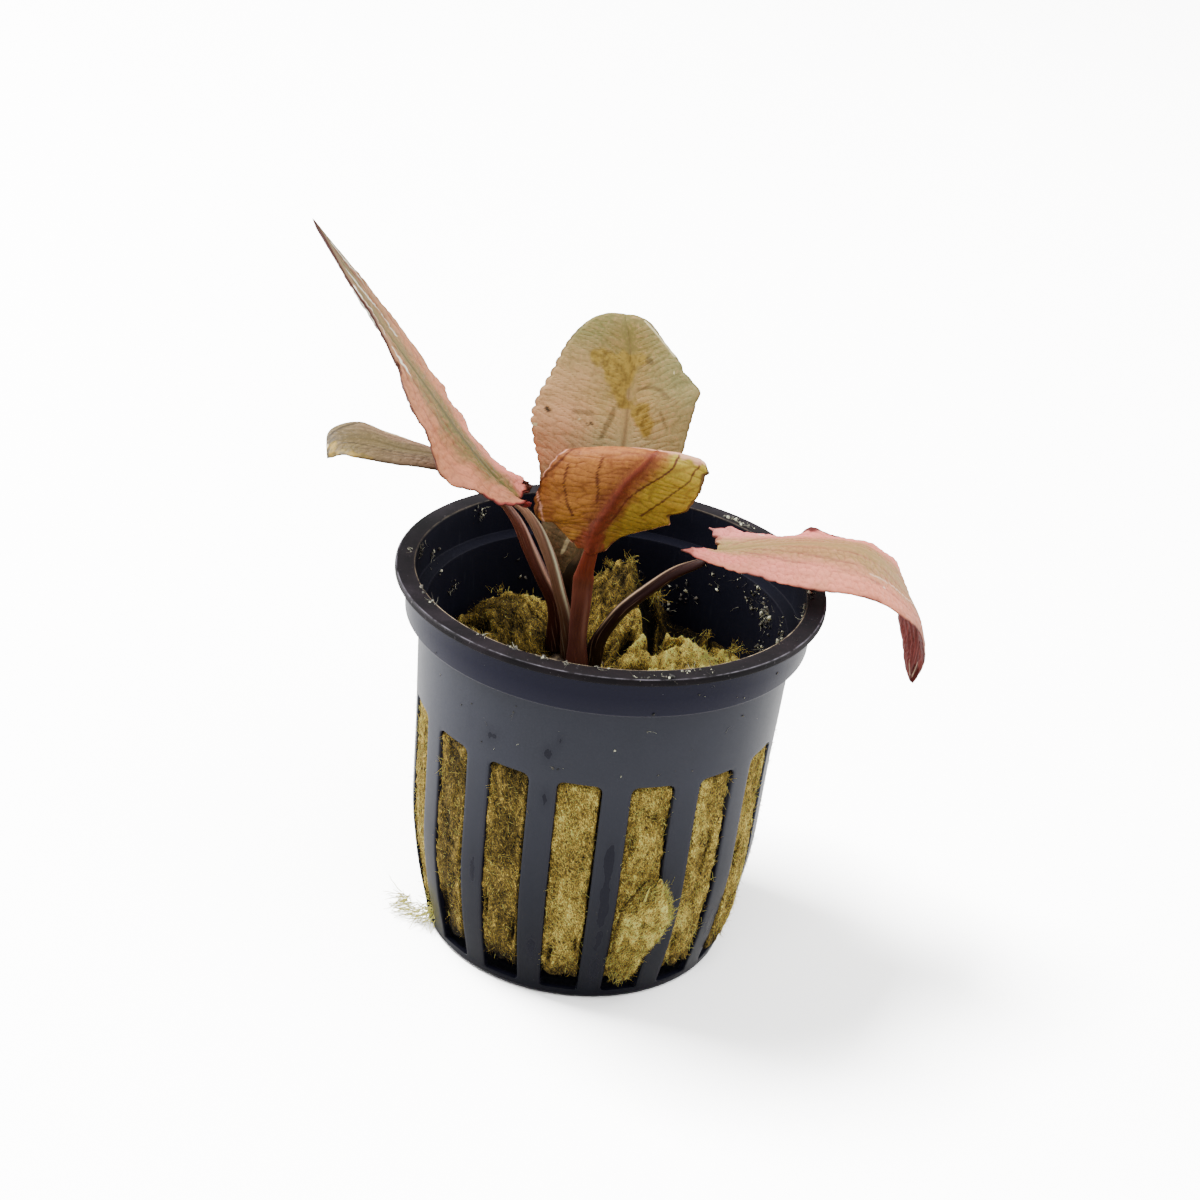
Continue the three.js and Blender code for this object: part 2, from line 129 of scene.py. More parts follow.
# Damp marks on the pot's outside: angle, height, spread in degrees and in height
DAMP_MARKS = (
    (-12.4, 37.7, 2.2, 1.2), (-31, 37.9, 2.6, 1.2), (-39.9, 38.9, 1.6, 1), (-9.4, 40.4, 1.6, 0.9),
    (9.6, 23.9, 1.8, 2), (9.6, 16, 2.4, 9), (-12, 31.4, 1.6, 1.6), (-35, 17.5, 1.6, 3), (9.6, 5, 2.4, 4),
    (-12.6, 8, 2, 4), (54.6, 9, 2, 5),
)

# Mineral wool plug
GAP = 0.3
PLUG_FOOT = 4
PLUG_LEVEL = 35.5
SLOT_SWELL = 1.0
EDGE_DROP = 2.5
WOOL_TONE = 0.76
SLOT_COLUMNS = 27
SIDE_LEVELS = 112
TOP_RINGS = 84
SIDE_FIBRES = 13000
TOP_FIBRES = 4200
TOP_FIBRE_REACH = 21.8
# Crumbs of the plug's top: their size, and the seed of their pattern
COARSE_CRUMBS = (2.4, 7)
FINE_CRUMBS = (1.05, 9)
# Black gap at the right of a slot, in degrees
SLOT_GAP = 0.35
# Torn and sunk places on the plug's side: angle, height, spread in degrees and in height, lean, depth
VOID_DEPTH = 1.4
SIDE_VOIDS = (
    (4.9, 17.8, 0.8, 1.3, 0, 1), (43.8, 21.2, 0.45, 2, 0.35, 0.9), (44.6, 24, 0.4, 1.2, -0.3, 0.7),
    (-51.5, 7.5, 2.2, 3, 0.3, 0.8), (-74, 8, 2.4, 3.4, 0.3, 0.9), (-63.5, 26, 0.7, 5, 0, 0.8),
    (-20, 9.5, 0.9, 2, 0.2, 0.6), (-29.8, 13, 0.7, 2, 0, 0.5), (-6.2, 7.3, 0.9, 1.5, 0.2, 0.7),
    (2.2, 9.5, 0.6, 1.2, 0, 0.6), (39.3, 8.2, 1.0, 1.6, 0, 0.7), (16.2, 25.6, 0.8, 1.4, 0.2, 0.5),
    (22.5, 29.3, 1.1, 0.9, 0, 0.4), (62, 19, 0.7, 2.4, 0.2, 0.6),
)
# Where the wool swells out of a slot: angle, height, how far, and its spread in degrees and in height
RIGHT_FOOT_SWELL = (65.5, 8, 0.9, 5, 5)
# Darker slots: angle, spread, how much
SLOT_SHADES = ((-24.5, 8, 0.26), (-69.5, 9, 0.08), (-47, 7, 0.33), (65.5, 8, 0.05))
# Loose strands across the slots: angle, height, angle and rise of their end, radius, tone
LOOSE_STRANDS = (
    (-8.4, 12.2, -5.4, 0.9, 0.06, 0.75), (-8.2, 11.6, -5.9, 0.3, 0.045, 0.65),
    (14.2, 20.4, 17.6, -1.2, 0.07, 0.8), (14, 21.2, 16.4, 0.8, 0.05, 0.7),
    (60.2, 12.4, 63.8, 2.2, 0.05, 0.7), (38.2, 27.6, 41.4, 1.6, 0.05, 0.65),
    (-44.6, 24.2, -42, 2.8, 0.05, 0.6), (-3.6, 28.4, -1, 2.4, 0.05, 0.7),
    (30.8, 15.4, 34.6, 2.6, 0.08, 0.95), (30, 17.4, 33.2, 2.4, 0.07, 0.95),
    (28.6, 19.2, 30.6, 2.2, 0.07, 0.9),
)
# Lumps and pits of the plug's top: x, y, height, spread
LUMPS = {
    "left_mound": (-13, 9, 6.5, 5.5),
    "back_mound": (2, 18, 9.3, 4.6),
    "middle": (4, 9, 2.5, 4),
    "right_shelf": (13, 6, 4.6, 5),
    "front_pit": (-8, -4, -5.5, 5),
    "back_right": (12, 16, -4.5, 3.5),
    "crack": (7.5, 13.5, -5, 1.8),
    "right_gap": (19, 10, -4, 4),
}
# Cracks in the plug's top: half width, strength, then points
GAP_DEPTH = 4.5
TOP_GAPS = (
    (1.25, 1, (4.6, 19.5), (5.4, 15), (6.4, 10.5), (7.2, 6.5)),
    (0.3, 0.4, (11.6, 8.4), (12.8, 7.6), (13.8, 8), (14.8, 7)), (0.7, 1, (2.2, 5.8), (3.4, 8)),
    (0.9, 1, (7.2, 6.5), (9.6, 7.4)), (0.8, 1, (3.6, 2.2), (5.4, 2.6)),
    (1.1, 0.9, (-10.4, 2.4), (-7.4, 2.2), (-5, 0.8)), (0.9, 0.8, (-3, -2.6), (0.6, -3)),
    (0.4, 0.7, (-14.4, 10.6), (-12.2, 11.4)), (0.45, 0.7, (-17.8, 6.6), (-15.6, 5.2)),
    (0.5, 0.8, (10, -1.6), (12.6, 0)),
)
# Tufts on the plug's top: where, heading, length, how many fibres
TUFTS = (
    (17.2, 8.4, 38, 0.75, 0.6, 0.7, 2.6, 46), (6, 16.4, 41.6, 0.15, -0.35, -0.9, 3.2, 60),
    (2.4, 19.4, 44, 0.2, 0, 1, 1.8, 40), (-0.5, 18.6, 43.6, -0.5, 0, 0.9, 1.6, 30),
    (13.4, 10.4, 38.8, 0, 0.3, 1, 1.4, 30), (-14.8, 12.6, 40.6, -0.2, 0.2, 1, 1.3, 30),
)
# Torn flap out of a front slot: rows of height, left angle, right angle and lift off the pot
FLAP_THICKNESS = 1.2
FLAP_FIBRES = 2600
FLAP_ROWS = (
    (4.2, 16.6, 20, 0), (5.5, 15, 21.8, 0.4), (9, 14.8, 23.6, 0.9), (12.5, 14.8, 27.2, 1.3),
    (15.5, 15.5, 29.4, 1.5), (18, 18.5, 28.4, 1.2), (20.5, 22, 26.2, 0.5),
)
# Spikes at the flap's upper edge: angle, height, angle and rise of their tip, radius
FLAP_SPIKES = (
    (20.2, 18.6, 21, 2.2, 0.2), (22.4, 19.4, 23.4, 1.6, 0.15), (25.2, 19, 26.2, 2.1, 0.22),
    (28.4, 15.8, 30.4, 1.9, 0.12),
)
# Wisp of fibres on the ground: the angles of its foot and its tip, and how far out it reaches
WISP_FIBRES = 130
WISP_ANGLES = (-68, -84)
WISP_REACH = 25.5
# Clusters of crumbs: angle, then height or, on the flange, radius, then spread in millimetres and how many
CRUMB = 0.28
WALL_CRUMBS = (
    (115, 43.3, 1.1, 60), (99.8, 43.9, 0.9, 22), (123.8, 43.7, 1.0, 30), (114.7, 38.1, 0.8, 26),
    (142.5, 43.2, 0.9, 14), (-95.9, 50.2, 0.6, 12), (-107.8, 46.6, 0.7, 16), (-132.7, 50.1, 0.7, 12),
    (-116, 41.1, 0.9, 16), (85, 50.3, 0.8, 18), (162.7, 37.6, 1.2, 40), (155, 39.6, 1.2, 16),
    (-150, 43, 2.5, 14), (132, 47, 2.2, 16), (176, 42, 2.4, 10),
)
FLANGE_CRUMBS = (
    (-64.7, 25.2, 0.5, 6), (-57.6, 25.2, 0.5, 6), (-35, 25.3, 0.8, 8), (-24.2, 25.2, 0.6, 8),
    (-16.5, 25.3, 0.6, 10), (-9.1, 25.2, 0.5, 7), (10, 26.9, 0.8, 9), (16.6, 26.6, 0.7, 9),
    (24, 25.8, 0.7, 9), (31, 26.4, 0.8, 6), (0, 25.3, 1, 5), (139, 25.9, 0.7, 26), (145, 25.9, 0.6, 22),
    (-90, 25.8, 0.5, 6), (92, 25.4, 0.7, 10), (60, 26, 1.5, 5),
)
OUTSIDE_CRUMBS = (
    (-12.4, 38, 2, 6), (-31, 38, 3, 8), (20, 40, 5, 10), (45, 41, 4, 8), (-55, 42, 4, 6), (30, 48, 3, 8),
)
# Debris on each surface: its clusters, the size of its crumbs, and the share of them with a fibre
DEBRIS = {
    "wall": (WALL_CRUMBS, 1, 0.65),
    "flange": (FLANGE_CRUMBS, 1, 0.65),
    "outside": (OUTSIDE_CRUMBS, 0.6, 0.3),
}

# Rootstock
CROWN_X, CROWN_Y = -3.4, 4.6
CROWN_RADIUS = 4.3
CROWN_FOOT, CROWN_TOP = 30.3, 36.2

# Leaves
BLADE_THICKNESS = 0.5
RIB_END_RADIUS = 0.3
RIB_REACH = 0.7
ROUGH_ROWS = 60
ROW_STEP = 0.18
COLUMN_STEP = 0.25
STALK_ROWS = 110
STALK_SIDES = 36
# What is painted on a blade: stains, dark marks and pale streaks
# Some pale streaks are painted highlights and some dark strokes painted shade, as each leaf says
MARKS = ("patch", "dark", "pale")
# Each leaf: points of its stalk, then of its rib and its two edges from the stalk's end to the tip, as in
# the solids; then what its surface looks like. Colours along the leaf are stops from its foot to its tip.
# A stroke is its half width in millimetres, its strength, and points as shares along and out.
LEAVES = {
    "leaf_tall": dict(
        stalk=((-4.4, 4.6, 36.6), (-5.2, 3.8, 42), (-6.5, 3.2, 46.5), (-8, 3, 51), (-10, 3, 55),
               (-12, 3, 57.5)),
        rib=((-14, 3, 59), (-17, 3.5, 62), (-20, 4, 65), (-24.5, 5, 70), (-29, 6, 75), (-32.5, 6.5, 79),
             (-36.5, 7.5, 84), (-41.5, 9, 90.5)),
        left=((-11, -0.5, 60), (-13, -2, 60.5), (-15.5, -3, 61), (-18, -4, 62.5), (-21, -4.5, 63.5),
              (-23, -4, 65.5), (-24.5, -3, 68.5), (-26.5, -1.5, 71.5), (-28.5, 1, 74), (-30, 3, 76),
              (-33, 4.5, 80.5), (-36.5, 6, 84.5), (-41.3, 8.7, 90.5)),
        right=((-12.5, 6, 59), (-12.5, 9, 59), (-15, 10.5, 59), (-17.5, 11.5, 60), (-20, 12, 63),
               (-24, 12, 68.5), (-27.5, 11.5, 73.5), (-31.5, 11, 78.5), (-35.5, 10, 83.5),
               (-41.7, 9.3, 90.5)),
        radii=(0.85, 0.75), flatness=0.9, bow=0.02, ridge=-1,
        field=((0, "ca9d7f"), (0.3, "c99a71"), (0.5, "c2996d"), (0.68, "b5a07b"), (0.85, "988861"),
               (1, "70684d")),
        far=((0, "d8a29a"), (0.3, "d0a282"), (0.5, "c69c70"), (0.7, "ba9c72"), (0.85, "9c906a"),
             (1, "747056")),
        band=((0, "848a4c"), (0.3, "848745"), (0.45, "928d50"), (0.6, "9c945c"), (1, "6e784e")),
        band_width=0.48, cloud=0.3, streak=0.4, net=0.28, light="dab08e", vein="a86c50", under="7a4a40",
        under_dark="5a302a", margin="74403a", rib_colour="6e6038", dark_colour="6a3a30",
        pale_colour="e6dcd2",
        scallop=(1.7, ((0, 0.55), (0.1, 0.5), (0.3, 0.4), (0.5, 0.22), (0.6, 0.05), (1, 0)),
                 ((0, 0.6), (0.1, 0.75), (0.35, 0.7), (0.5, 0.3), (0.7, 0.12), (1, 0))),
        nicks=((-1, 0.555, 0.9, -1.0), (1, 0.0, 0.4, 1.6), (1, 0.05, 0.5, -0.5)),
        laterals=((0.0, 0.66), (0.05, 0.42), (0.1, 0.22)), cell=(1.35, 1.7, 0.5), bump=0.17, frill=1.0,
        # The first pale stroke is a painted highlight: a glossy streak beside the left margin
        pale=((0.2, 0.9, (0.8, -0.8), (0.72, -0.74), (0.64, -0.72), (0.56, -0.62), (0.5, -0.45)),
              (0.12, 0.6, (0.84, 0.0), (0.76, 0.2), (0.68, 0.35), (0.6, 0.4)),
              (0.1, 0.5, (0.92, 0.3), (0.84, 0.5), (0.78, 0.6))),
        patch_colour="c0504c", patch_dark="9a3434",
        patch=((0.5, 1, (0, -1), (0, -0.75), (0, -0.45)), (0.35, 0.9, (0, -1), (0.05, -1), (0.14, -1)),
               (0.35, 0.8, (0, 0.6), (0, 1), (0.04, 1))),
        curls=((-1, 0.02, 0.8, 0.5), (1, 0.02, 0.6, 0.9), (-1, 0.09, 0.7, -0.3)),
        dark=((0.3, 0.85, (0.76, -1), (0.68, -1), (0.6, -1), (0.545, -0.95)),
              (0.5, 0.9, (0.0, 1), (0.025, 1)), (0.12, 0.5, (0.9, 0.2), (0.84, 0.3), (0.8, 0.35)),
              (0.1, 0.4, (0.82, -0.3), (0.72, -0.35), (0.64, -0.3))),
        stalk_colours=("4a2c20", "9c745a", "b08c70"), channel="ecdccc",
    ),
    "leaf_right": dict(
        stalk=((-1.3, 3.2, 36.6), (-0.8, 2.7, 40), (0.2, 2.5, 42.5), (2, 2.5, 45.5), (5, 3, 48.5),
               (8, 3.5, 51), (11, 4, 52.5)),
        rib=((13, 4, 54), (17.5, 4, 55.5), (22, 4, 56.5), (26, 4, 57), (30.5, 4, 57), (34, 4, 55.5),
             (37.5, 4, 52), (40, 4.5, 48), (41, 5, 44), (40.5, 4, 39)),
        left=((12, 8, 55.5), (16, 9.5, 55), (20, 10.5, 54.5), (24, 11, 54.5), (28, 11, 55), (31.5, 11, 55),
              (34.5, 11, 54), (36.5, 11, 52.5), (37.5, 10.5, 49.5), (38, 9.5, 46), (39, 8, 43),
              (39.5, 6, 40.5), (40.3, 4.4, 39)),
        right=((9, 0, 56), (11, -1, 55.5), (14, -2, 55), (18, -3, 55), (22.5, -3.5, 54.5), (26, -4, 54.5),
               (30, -4, 54.5), (34, -3.5, 53.5), (37, -2.5, 51.5), (39.5, -0.5, 49), (41, 1.5, 45.5),
               (41.5, 3, 42), (40.7, 3.6, 39)),
        radii=(0.95, 0.75), flatness=0.8, bow=0.04, ridge=-1,
        field=((0, "eaaba6"), (0.25, "e6a39c"), (0.6, "e1a692"), (0.8, "c99079"), (1, "ba8176")),
        far=((0, "e0a39a"), (0.35, "e2ae98"), (0.6, "d4a98a"), (0.8, "bc9078"), (1, "b6876e")),
        band=((0, "bcb176"), (0.3, "bc9d64"), (0.5, "b6a364"), (0.7, "b89c68"), (1, "ae8d66")),
        band_width=0.5, cloud=0.35, streak=0.2, net=0.24, light="e2b4a4", vein="b06a5c", under="bc7872",
        under_dark="9c5a54", margin="8c5450", rib_colour="b49c6a", dark_colour="7a2620",
        pale_colour="e4cfc4",
        scallop=(1.5, ((0, 0.4), (0.15, 0.3), (0.3, 0.2), (0.5, 0.25), (0.8, 0.2), (1, 0.1)),
                 ((0, 0.35), (0.25, 0.3), (0.35, 0.12), (0.6, 0.05), (0.8, 0.2), (1, 0.1))),
        nicks=((-1, 0.33, 1.5, 1.2), (-1, 0.0, 0.5, 0.5), (1, 0.0, 0.6, 0.6), (1, 0.06, 0.5, -0.4)),
        laterals=((0.0, 0.64), (0.04, 0.4), (0.1, 0.2)), cell=(0.85, 1.1, 0.4), bump=0.13, frill=0.5,
        lobe=-0.6,
        pale=((0.12, 0.6, (0.5, 0.5), (0.6, 0.42), (0.7, 0.25), (0.8, 0.1)),
              (0.1, 0.6, (0.93, -0.5), (0.98, -0.3)), (0.1, 0.6, (0.93, 0.3), (0.98, 0.2)),
              (0.25, 0.8, (0.16, -0.72), (0.165, -0.68)), (0.13, 1, (0.56, 0.62), (0.565, 0.64))),
        dark=((1.3, 1, (0.31, -1), (0.34, -0.98), (0.39, -1)), (0.6, 0.9, (0.95, 0.3), (1, 0)),
              (0.16, 0.5, (0.8, 0.45), (0.9, 0.35), (0.97, 0.1))),
        curls=((-1, 0.335, 1.5, 1.15), (-1, 0.235, 1.0, -0.35), (-1, 0.07, 1.0, 0.3)),
        stalk_colours=("1e0606", "34120e", "4a1e18"), channel="e8ccb8", lip=-1,
    ),
    "leaf_front": dict(
        stalk=((-3.2, 2, 36.6), (-3.5, 1.5, 42), (-3.5, 1, 46.5), (-3.5, 1, 50.5)),
        rib=((-3, 0.5, 54), (-2.5, 0, 58), (-1, -0.5, 61.5), (0.5, -1, 65), (2.5, -1, 67.5), (3.5, 0, 68.5),
             (4.5, 3, 67.5), (5, 5, 65.5)),
        left=((-5, 1, 54.5), (-7, 1.5, 56), (-8.5, 2, 57), (-10, 2, 57), (-11, 2, 59), (-10.5, 2, 61),
              (-10, 1.5, 63.5), (-8, 2, 66.5), (-5, 4, 66), (-0.5, 5, 65.5)),
        right=((-1.5, 1, 54), (0.5, 1.5, 56), (3, 2, 57), (5.5, 2, 58), (8, 2, 60), (9.5, 2, 62.5),
               (10, 2, 64.5), (10, 2.5, 67), (8.5, 5, 66), (6.5, 6, 65)),
        radii=(1.1, 1.35), flatness=0.62, bow=0.04, ridge=1,
        # Its yellow and orange are partly painted light shining through the blade from behind. Past 0.8 the
        # blade bends back over its top, and the pale colours there are a painted reflection.
        field=((0, "c5a754"), (0.3, "c19548"), (0.6, "bf8f50"), (0.74, "b98152"), (0.79, "b98556"),
               (0.82, "cbbea0"), (1, "a79a7e")),
        far=((0, "bba741"), (0.3, "b9a73d"), (0.6, "c3b741"), (0.76, "bfb745"), (0.8, "cbc6a2"),
             (1, "b3ae8c")),
        band=((0, "a16e48"), (0.4, "ab7040"), (0.7, "b17642"), (0.79, "b17846"), (0.82, "d5bea0"),
              (1, "b19a7e")),
        band_width=0.26, cloud=0.2, streak=0.1, net=0.42, light="ddbc5e", vein="9c5a26", under="b8a08a",
        under_dark="98806c", margin="6e261a", rib_colour="a04c32", vein_dark="7a3a1e", dark_colour="5c1e16",
        pale_colour="dcc0b0",
        scallop=(1.3, ((0, 0.04), (0.3, 0.12), (0.5, 0.4), (0.85, 0.45), (1, 0.3)),
                 ((0, 0.04), (0.3, 0.12), (1, 0.14))),
        nicks=((1, 0.43, 0.7, -1.2), (1, 0.37, 0.4, 0.35), (1, 0.73, 0.35, 0.5), (-1, 0.33, 0.5, -0.3)),
        laterals=(), cell=(0.8, 4.2, 0.1), bump=0.045, frill=0.3, lobe=-0.3,
        vein_strokes=((0.12, 0.9, (0.275, -0.45), (0.36, -0.57), (0.475, -0.7), (0.6, -0.8)),
                      (0.14, 0.9, (0.36, -0.2), (0.455, -0.27), (0.57, -0.42), (0.66, -0.5)),
                      (0.14, 0.95, (0.24, 0.2), (0.405, 0.15), (0.545, 0.25), (0.685, 0.4), (0.79, 0.45)),
                      (0.12, 0.9, (0.365, 0.52), (0.51, 0.6), (0.655, 0.75), (0.77, 0.86)),
                      (0.4, 0.55, (0.5, 0), (0.78, 0.02))),
        patch_colour="a44e34", patch_dark="863a24",
        patch=((3.4, 0.35, (0, 0), (0.12, 0)), (2.3, 0.35, (0.12, 0), (0.4, 0)),
               (1.3, 0.3, (0.4, 0), (0.75, 0.02)), (1, 0.35, (0.1, -1), (0.4, -1), (0.75, -1)),
               (2.6, 0.9, (0, 0), (0.03, 0)), (2.1, 0.85, (0.03, 0), (0.1, 0)),
               (1.5, 0.8, (0.1, 0), (0.22, 0)), (1, 0.75, (0.22, 0), (0.42, 0)),
               (0.6, 0.7, (0.42, 0), (0.6, 0)), (0.4, 0.6, (0.6, 0), (0.78, 0.02))),
        # Painted highlights: pale lines along the margins, and a pale band where the blade bends back at 0.8
        pale=((0.1, 0.9, (0.02, 1), (0.2, 1), (0.38, 1)), (0.1, 0.8, (0.02, -1), (0.2, -1), (0.4, -1)),
              (0.12, 0.8, (0.5, -1), (0.62, -1), (0.78, -1)),
              (0.8, 0.75, (0.81, -0.6), (0.8, 0), (0.79, 0.5), (0.785, 1))),
        # The last dark stroke is painted shade along that bend
        dark=((0.3, 0.8, (0.42, 0.95), (0.5, 1), (0.6, 1), (0.75, 1)),
              (0.25, 0.7, (0.25, -1), (0.45, -1), (0.8, -1)),
              (0.2, 0.6, (0.78, -0.9), (0.8, -0.5), (0.82, -0.1))),
        stalk_colours=("643430", "845046", "92543e"), channel="b08478",
    ),
    "leaf_back": dict(
        stalk=((-3.2, 7.2, 36.6), (-4.3, 7, 42), (-5, 6.5, 45.5)),
        rib=((-5.5, 6, 48), (-3.5, 7, 53), (-1.5, 8, 58.5), (-0.5, 9.5, 64.5), (-0.5, 11.5, 70.5),
             (-1, 14, 76.5), (-2, 16, 79.5), (-2, 18.5, 79.5)),
        left=((-6.5, 6, 48), (-9, 6.5, 51.5), (-10, 7.5, 55), (-10.5, 8.5, 58.5), (-11, 9, 61.5),
              (-12, 9.5, 64.5), (-12.5, 10, 67.5), (-12, 11, 70), (-10.5, 12, 73.5), (-9, 13.5, 77),
              (-6.5, 15.5, 79.5), (-4, 17, 80)),
        right=((-4.5, 6, 48.5), (-2, 7, 52.5), (3, 7.5, 56.5), (6, 8, 60.5), (7, 8.5, 64.5), (7.5, 9, 68),
               (8, 9.5, 72), (7.5, 10.5, 74), (6, 11.5, 76), (3.5, 13.5, 78), (1, 15.5, 80),
               (-1.5, 17, 80)),
        radii=(0.9, 0.9), flatness=0.8, bow=0.04, ridge=-1,
        # Its dark colours near the foot are painted shade where it stands behind leaf_front; its pale middle
        # is its own colour with a painted sheen.
        field=((0, "53492d"), (0.2, "756741"), (0.32, "b7a881"), (0.42, "d3b899"), (0.7, "cdbc95"),
               (0.86, "9a9b5c"), (1, "7e862e")),
        far=((0, "53482b"), (0.2, "75663f"), (0.32, "bbb08d"), (0.42, "bfb28b"), (0.7, "afae7d"),
             (1, "958e4b")),
        band=((0, "5b522a"), (0.3, "bfb898"), (0.48, "c3bb9a"), (0.6, "c5b787"), (0.8, "a99d59"),
              (1, "8b853f")),
        band_width=0.5, cloud=0.45, streak=0.1, net=0.16, light="d4bc9c", vein="987650", under="8a6a50",
        under_dark="6a4a34", margin="7c5a44", rib_colour="ac946c", dark_colour="5a4426",
        pale_colour="dcd4c0", patch_colour="bcaa58", patch_dark="a0883e",
        scallop=(1.25, ((0, 0), (0.35, 0.15), (0.45, 0.3), (0.75, 0.28), (0.85, 0.1), (1, 0.05)),
                 ((0, 0), (0.4, 0.12), (0.6, 0.15), (1, 0.05))),
        nicks=((1, 0.68, 0.9, 0.6), (1, 0.745, 0.8, -0.4)), laterals=(), cell=(0.7, 3.4, 0.35), bump=0.035,
        frill=0.35,
        vein_strokes=((0.1, 0.16, (0.3, 0.35), (0.45, 0.5), (0.62, 0.6), (0.8, 0.55)),
                      (0.1, 0.14, (0.3, -0.3), (0.5, -0.45), (0.7, -0.5), (0.86, -0.4)),
                      (0.14, 0.22, (0.62, 0.0), (0.7, 0.15), (0.69, 0.5), (0.65, 0.7)),
                      (0.12, 0.16, (0.72, 0.1), (0.78, 0.3), (0.78, 0.7))),
        patch=((0.8, 1, (0.785, -0.52), (0.79, -0.2), (0.795, 0.2)), (1.5, 1, (0.765, -0.3), (0.73, -0.2)),
               (1.4, 1, (0.765, -0.05), (0.73, -0.1), (0.7, -0.12)), (0.8, 1, (0.7, -0.14), (0.645, -0.06)),
               (0.5, 0.8, (0.65, -0.04), (0.625, 0.14)),
               (1.2, 1, (0.618, 0.2), (0.595, 0.25), (0.57, 0.32))),
        dark=((0.28, 0.5, (0.615, -0.15), (0.56, -0.2), (0.515, -0.25)),
              (0.22, 1, (0.577, -0.86), (0.573, -0.83)), (0.14, 1, (0.556, -0.38), (0.553, -0.36)),
              (0.12, 0.9, (0.55, -0.42), (0.548, -0.4)), (0.3, 0.45, (0.585, -0.57), (0.588, -0.38)),
              (0.3, 0.5, (0.79, 0.38), (0.78, 0.44)), (0.2, 0.4, (0.69, 0.16), (0.7, 0.4), (0.66, 0.6)),
              (0.18, 0.4, (0.62, 0.5), (0.56, 0.66))),
        pale=((0.14, 1, (0.52, -0.97), (0.522, -0.94)), (0.1, 0.8, (0.56, -0.5), (0.562, -0.49)),
              (0.12, 0.7, (0.96, -0.9), (0.98, -0.3)), (0.14, 0.6, (0.93, 0.8), (0.86, 0.95), (0.8, 0.97)),
              (0.1, 0.8, (0.74, 0.8), (0.745, 0.81)),
              (0.25, 0.6, (0.08, -0.6), (0.2, -0.35), (0.25, -0.3))),
        # Its dark stalk is painted shade behind leaf_front's stalk
        stalk_colours=("20100a", "322012", "40321c"), channel="6a5a38",
    ),
    "leaf_left": dict(
        stalk=((-6.2, 6.4, 36.6), (-7, 6, 43), (-9, 6, 47), (-11, 6.5, 50.5), (-13, 7, 54),
               (-15.5, 8, 56.5)),
        rib=((-18.5, 9, 58.5), (-21.5, 9.5, 60), (-25, 10, 60.5), (-29, 10.5, 60.5), (-33, 11, 61),
             (-36.5, 11.5, 60.5), (-38, 11.5, 59.5), (-38.5, 11, 58)),
        left=((-20.5, 7.5, 59), (-23.5, 6.5, 60), (-26.5, 6, 60.5), (-29.5, 6, 60.5), (-33.5, 6.5, 60.5),
              (-36, 8, 60), (-38.5, 10.7, 58)),
        right=((-21, 11.5, 59.5), (-24, 12.5, 60), (-28, 13.5, 60.5), (-31.5, 14.5, 61), (-35, 15.5, 61.5),
               (-37.5, 15.5, 61), (-39, 14, 60), (-38.6, 11.3, 58)),
        radii=(1.1, 0.8), flatness=0.85, bow=0.04, ridge=-1,
        field=((0, "c09686"), (0.3, "a88c70"), (0.75, "8c7c48"), (0.9, "907622"), (1, "5a4814")),
        far=((0, "d09e94"), (0.3, "b4907a"), (0.75, "928056"), (1, "76621e")),
        band=((0, "ac927a"), (0.5, "948456"), (1, "766024")), band_width=0.4, cloud=0.3, streak=0.6,
        net=0.1, light="c8b898", vein="6e5a38", under="6e5a3c", under_dark="4a3a22", margin="4e3c22",
        rib_colour="7e6c3c", dark_colour="4a3a18", pale_colour="dcd0b8",
        scallop=(2.4, ((0, 0.1), (1, 0.08)), ((0, 0.1), (1, 0.08))),
        laterals=((0.0, 0.6), (0.02, 0.36), (0.05, 0.16)), cell=(1.3, 1.2, 0.5), bump=0.06, frill=0.15,
        pale=((0.12, 0.6, (0.1, 0.75), (0.35, 0.8), (0.6, 0.8)), (0.2, 0.8, (0.93, 0.5), (0.94, 0.45))),
        patch_colour="bea83a", patch_dark="8e7a20",
        patch=((0.5, 0.7, (0.6, -1), (0.75, -1), (0.88, -1)), (0.9, 0.85, (0.9, -0.55), (0.93, -0.3))),
        dark=((0.45, 0.9, (0.955, -0.3), (1, 0)), (0.2, 0.6, (0.86, 0.3), (0.93, 0.5)),
              (0.12, 0.6, (0.3, -0.4), (0.6, -0.45), (0.85, -0.3)),
              (0.14, 0.9, (0.2, 1), (0.6, 1), (0.95, 1))),
        stalk_colours=("2a0a08", "6a3226", "8e5038"), channel="dcc8bc",
    ),
}


def surface(code):
    """Colour of a surface that a picture taken in the studio light shows as a hex code such as "d9a08c"."""
    shown = [int(code[i:i + 2], 16) / 255 for i in (0, 2, 4)]
    linear = [p / 12.92 if p <= 0.04045 else ((p + 0.055) / 1.055) ** 2.4 for p in shown]
    bright = [p / (1 - min(p, 0.9) ** 2) ** 1.57 for p in linear]
    return (*(min(p / STUDIO, 0.92) for p in bright), 1.0)


# Forms


def unit(v):
    return v / np.maximum(np.linalg.norm(v, axis=-1, keepdims=True), 1e-12)


def smooth(low, high, x):
    t = np.clip((np.asarray(x, float) - low) / (high - low), 0, 1)
    return t * t * (3 - 2 * t)


def joined(*columns):
    """Points whose coordinates are the given columns."""
    return np.stack(np.broadcast_arrays(*columns), -1)


def around(radius, degrees, height):
    """Points at a radius, an angle round the pot and a height."""
    angle = np.radians(degrees)
    return joined(radius * np.sin(angle), -radius * np.cos(angle), height)


LATTICE = np.random.default_rng(11).random(8192) * 2 - 1


def cell_number(x, y, z):
    """A fixed random number from -1 to 1 for each whole-numbered cell."""
    return LATTICE[(x * 73856093 ^ y * 19349663 ^ z * 83492791) & 8191]


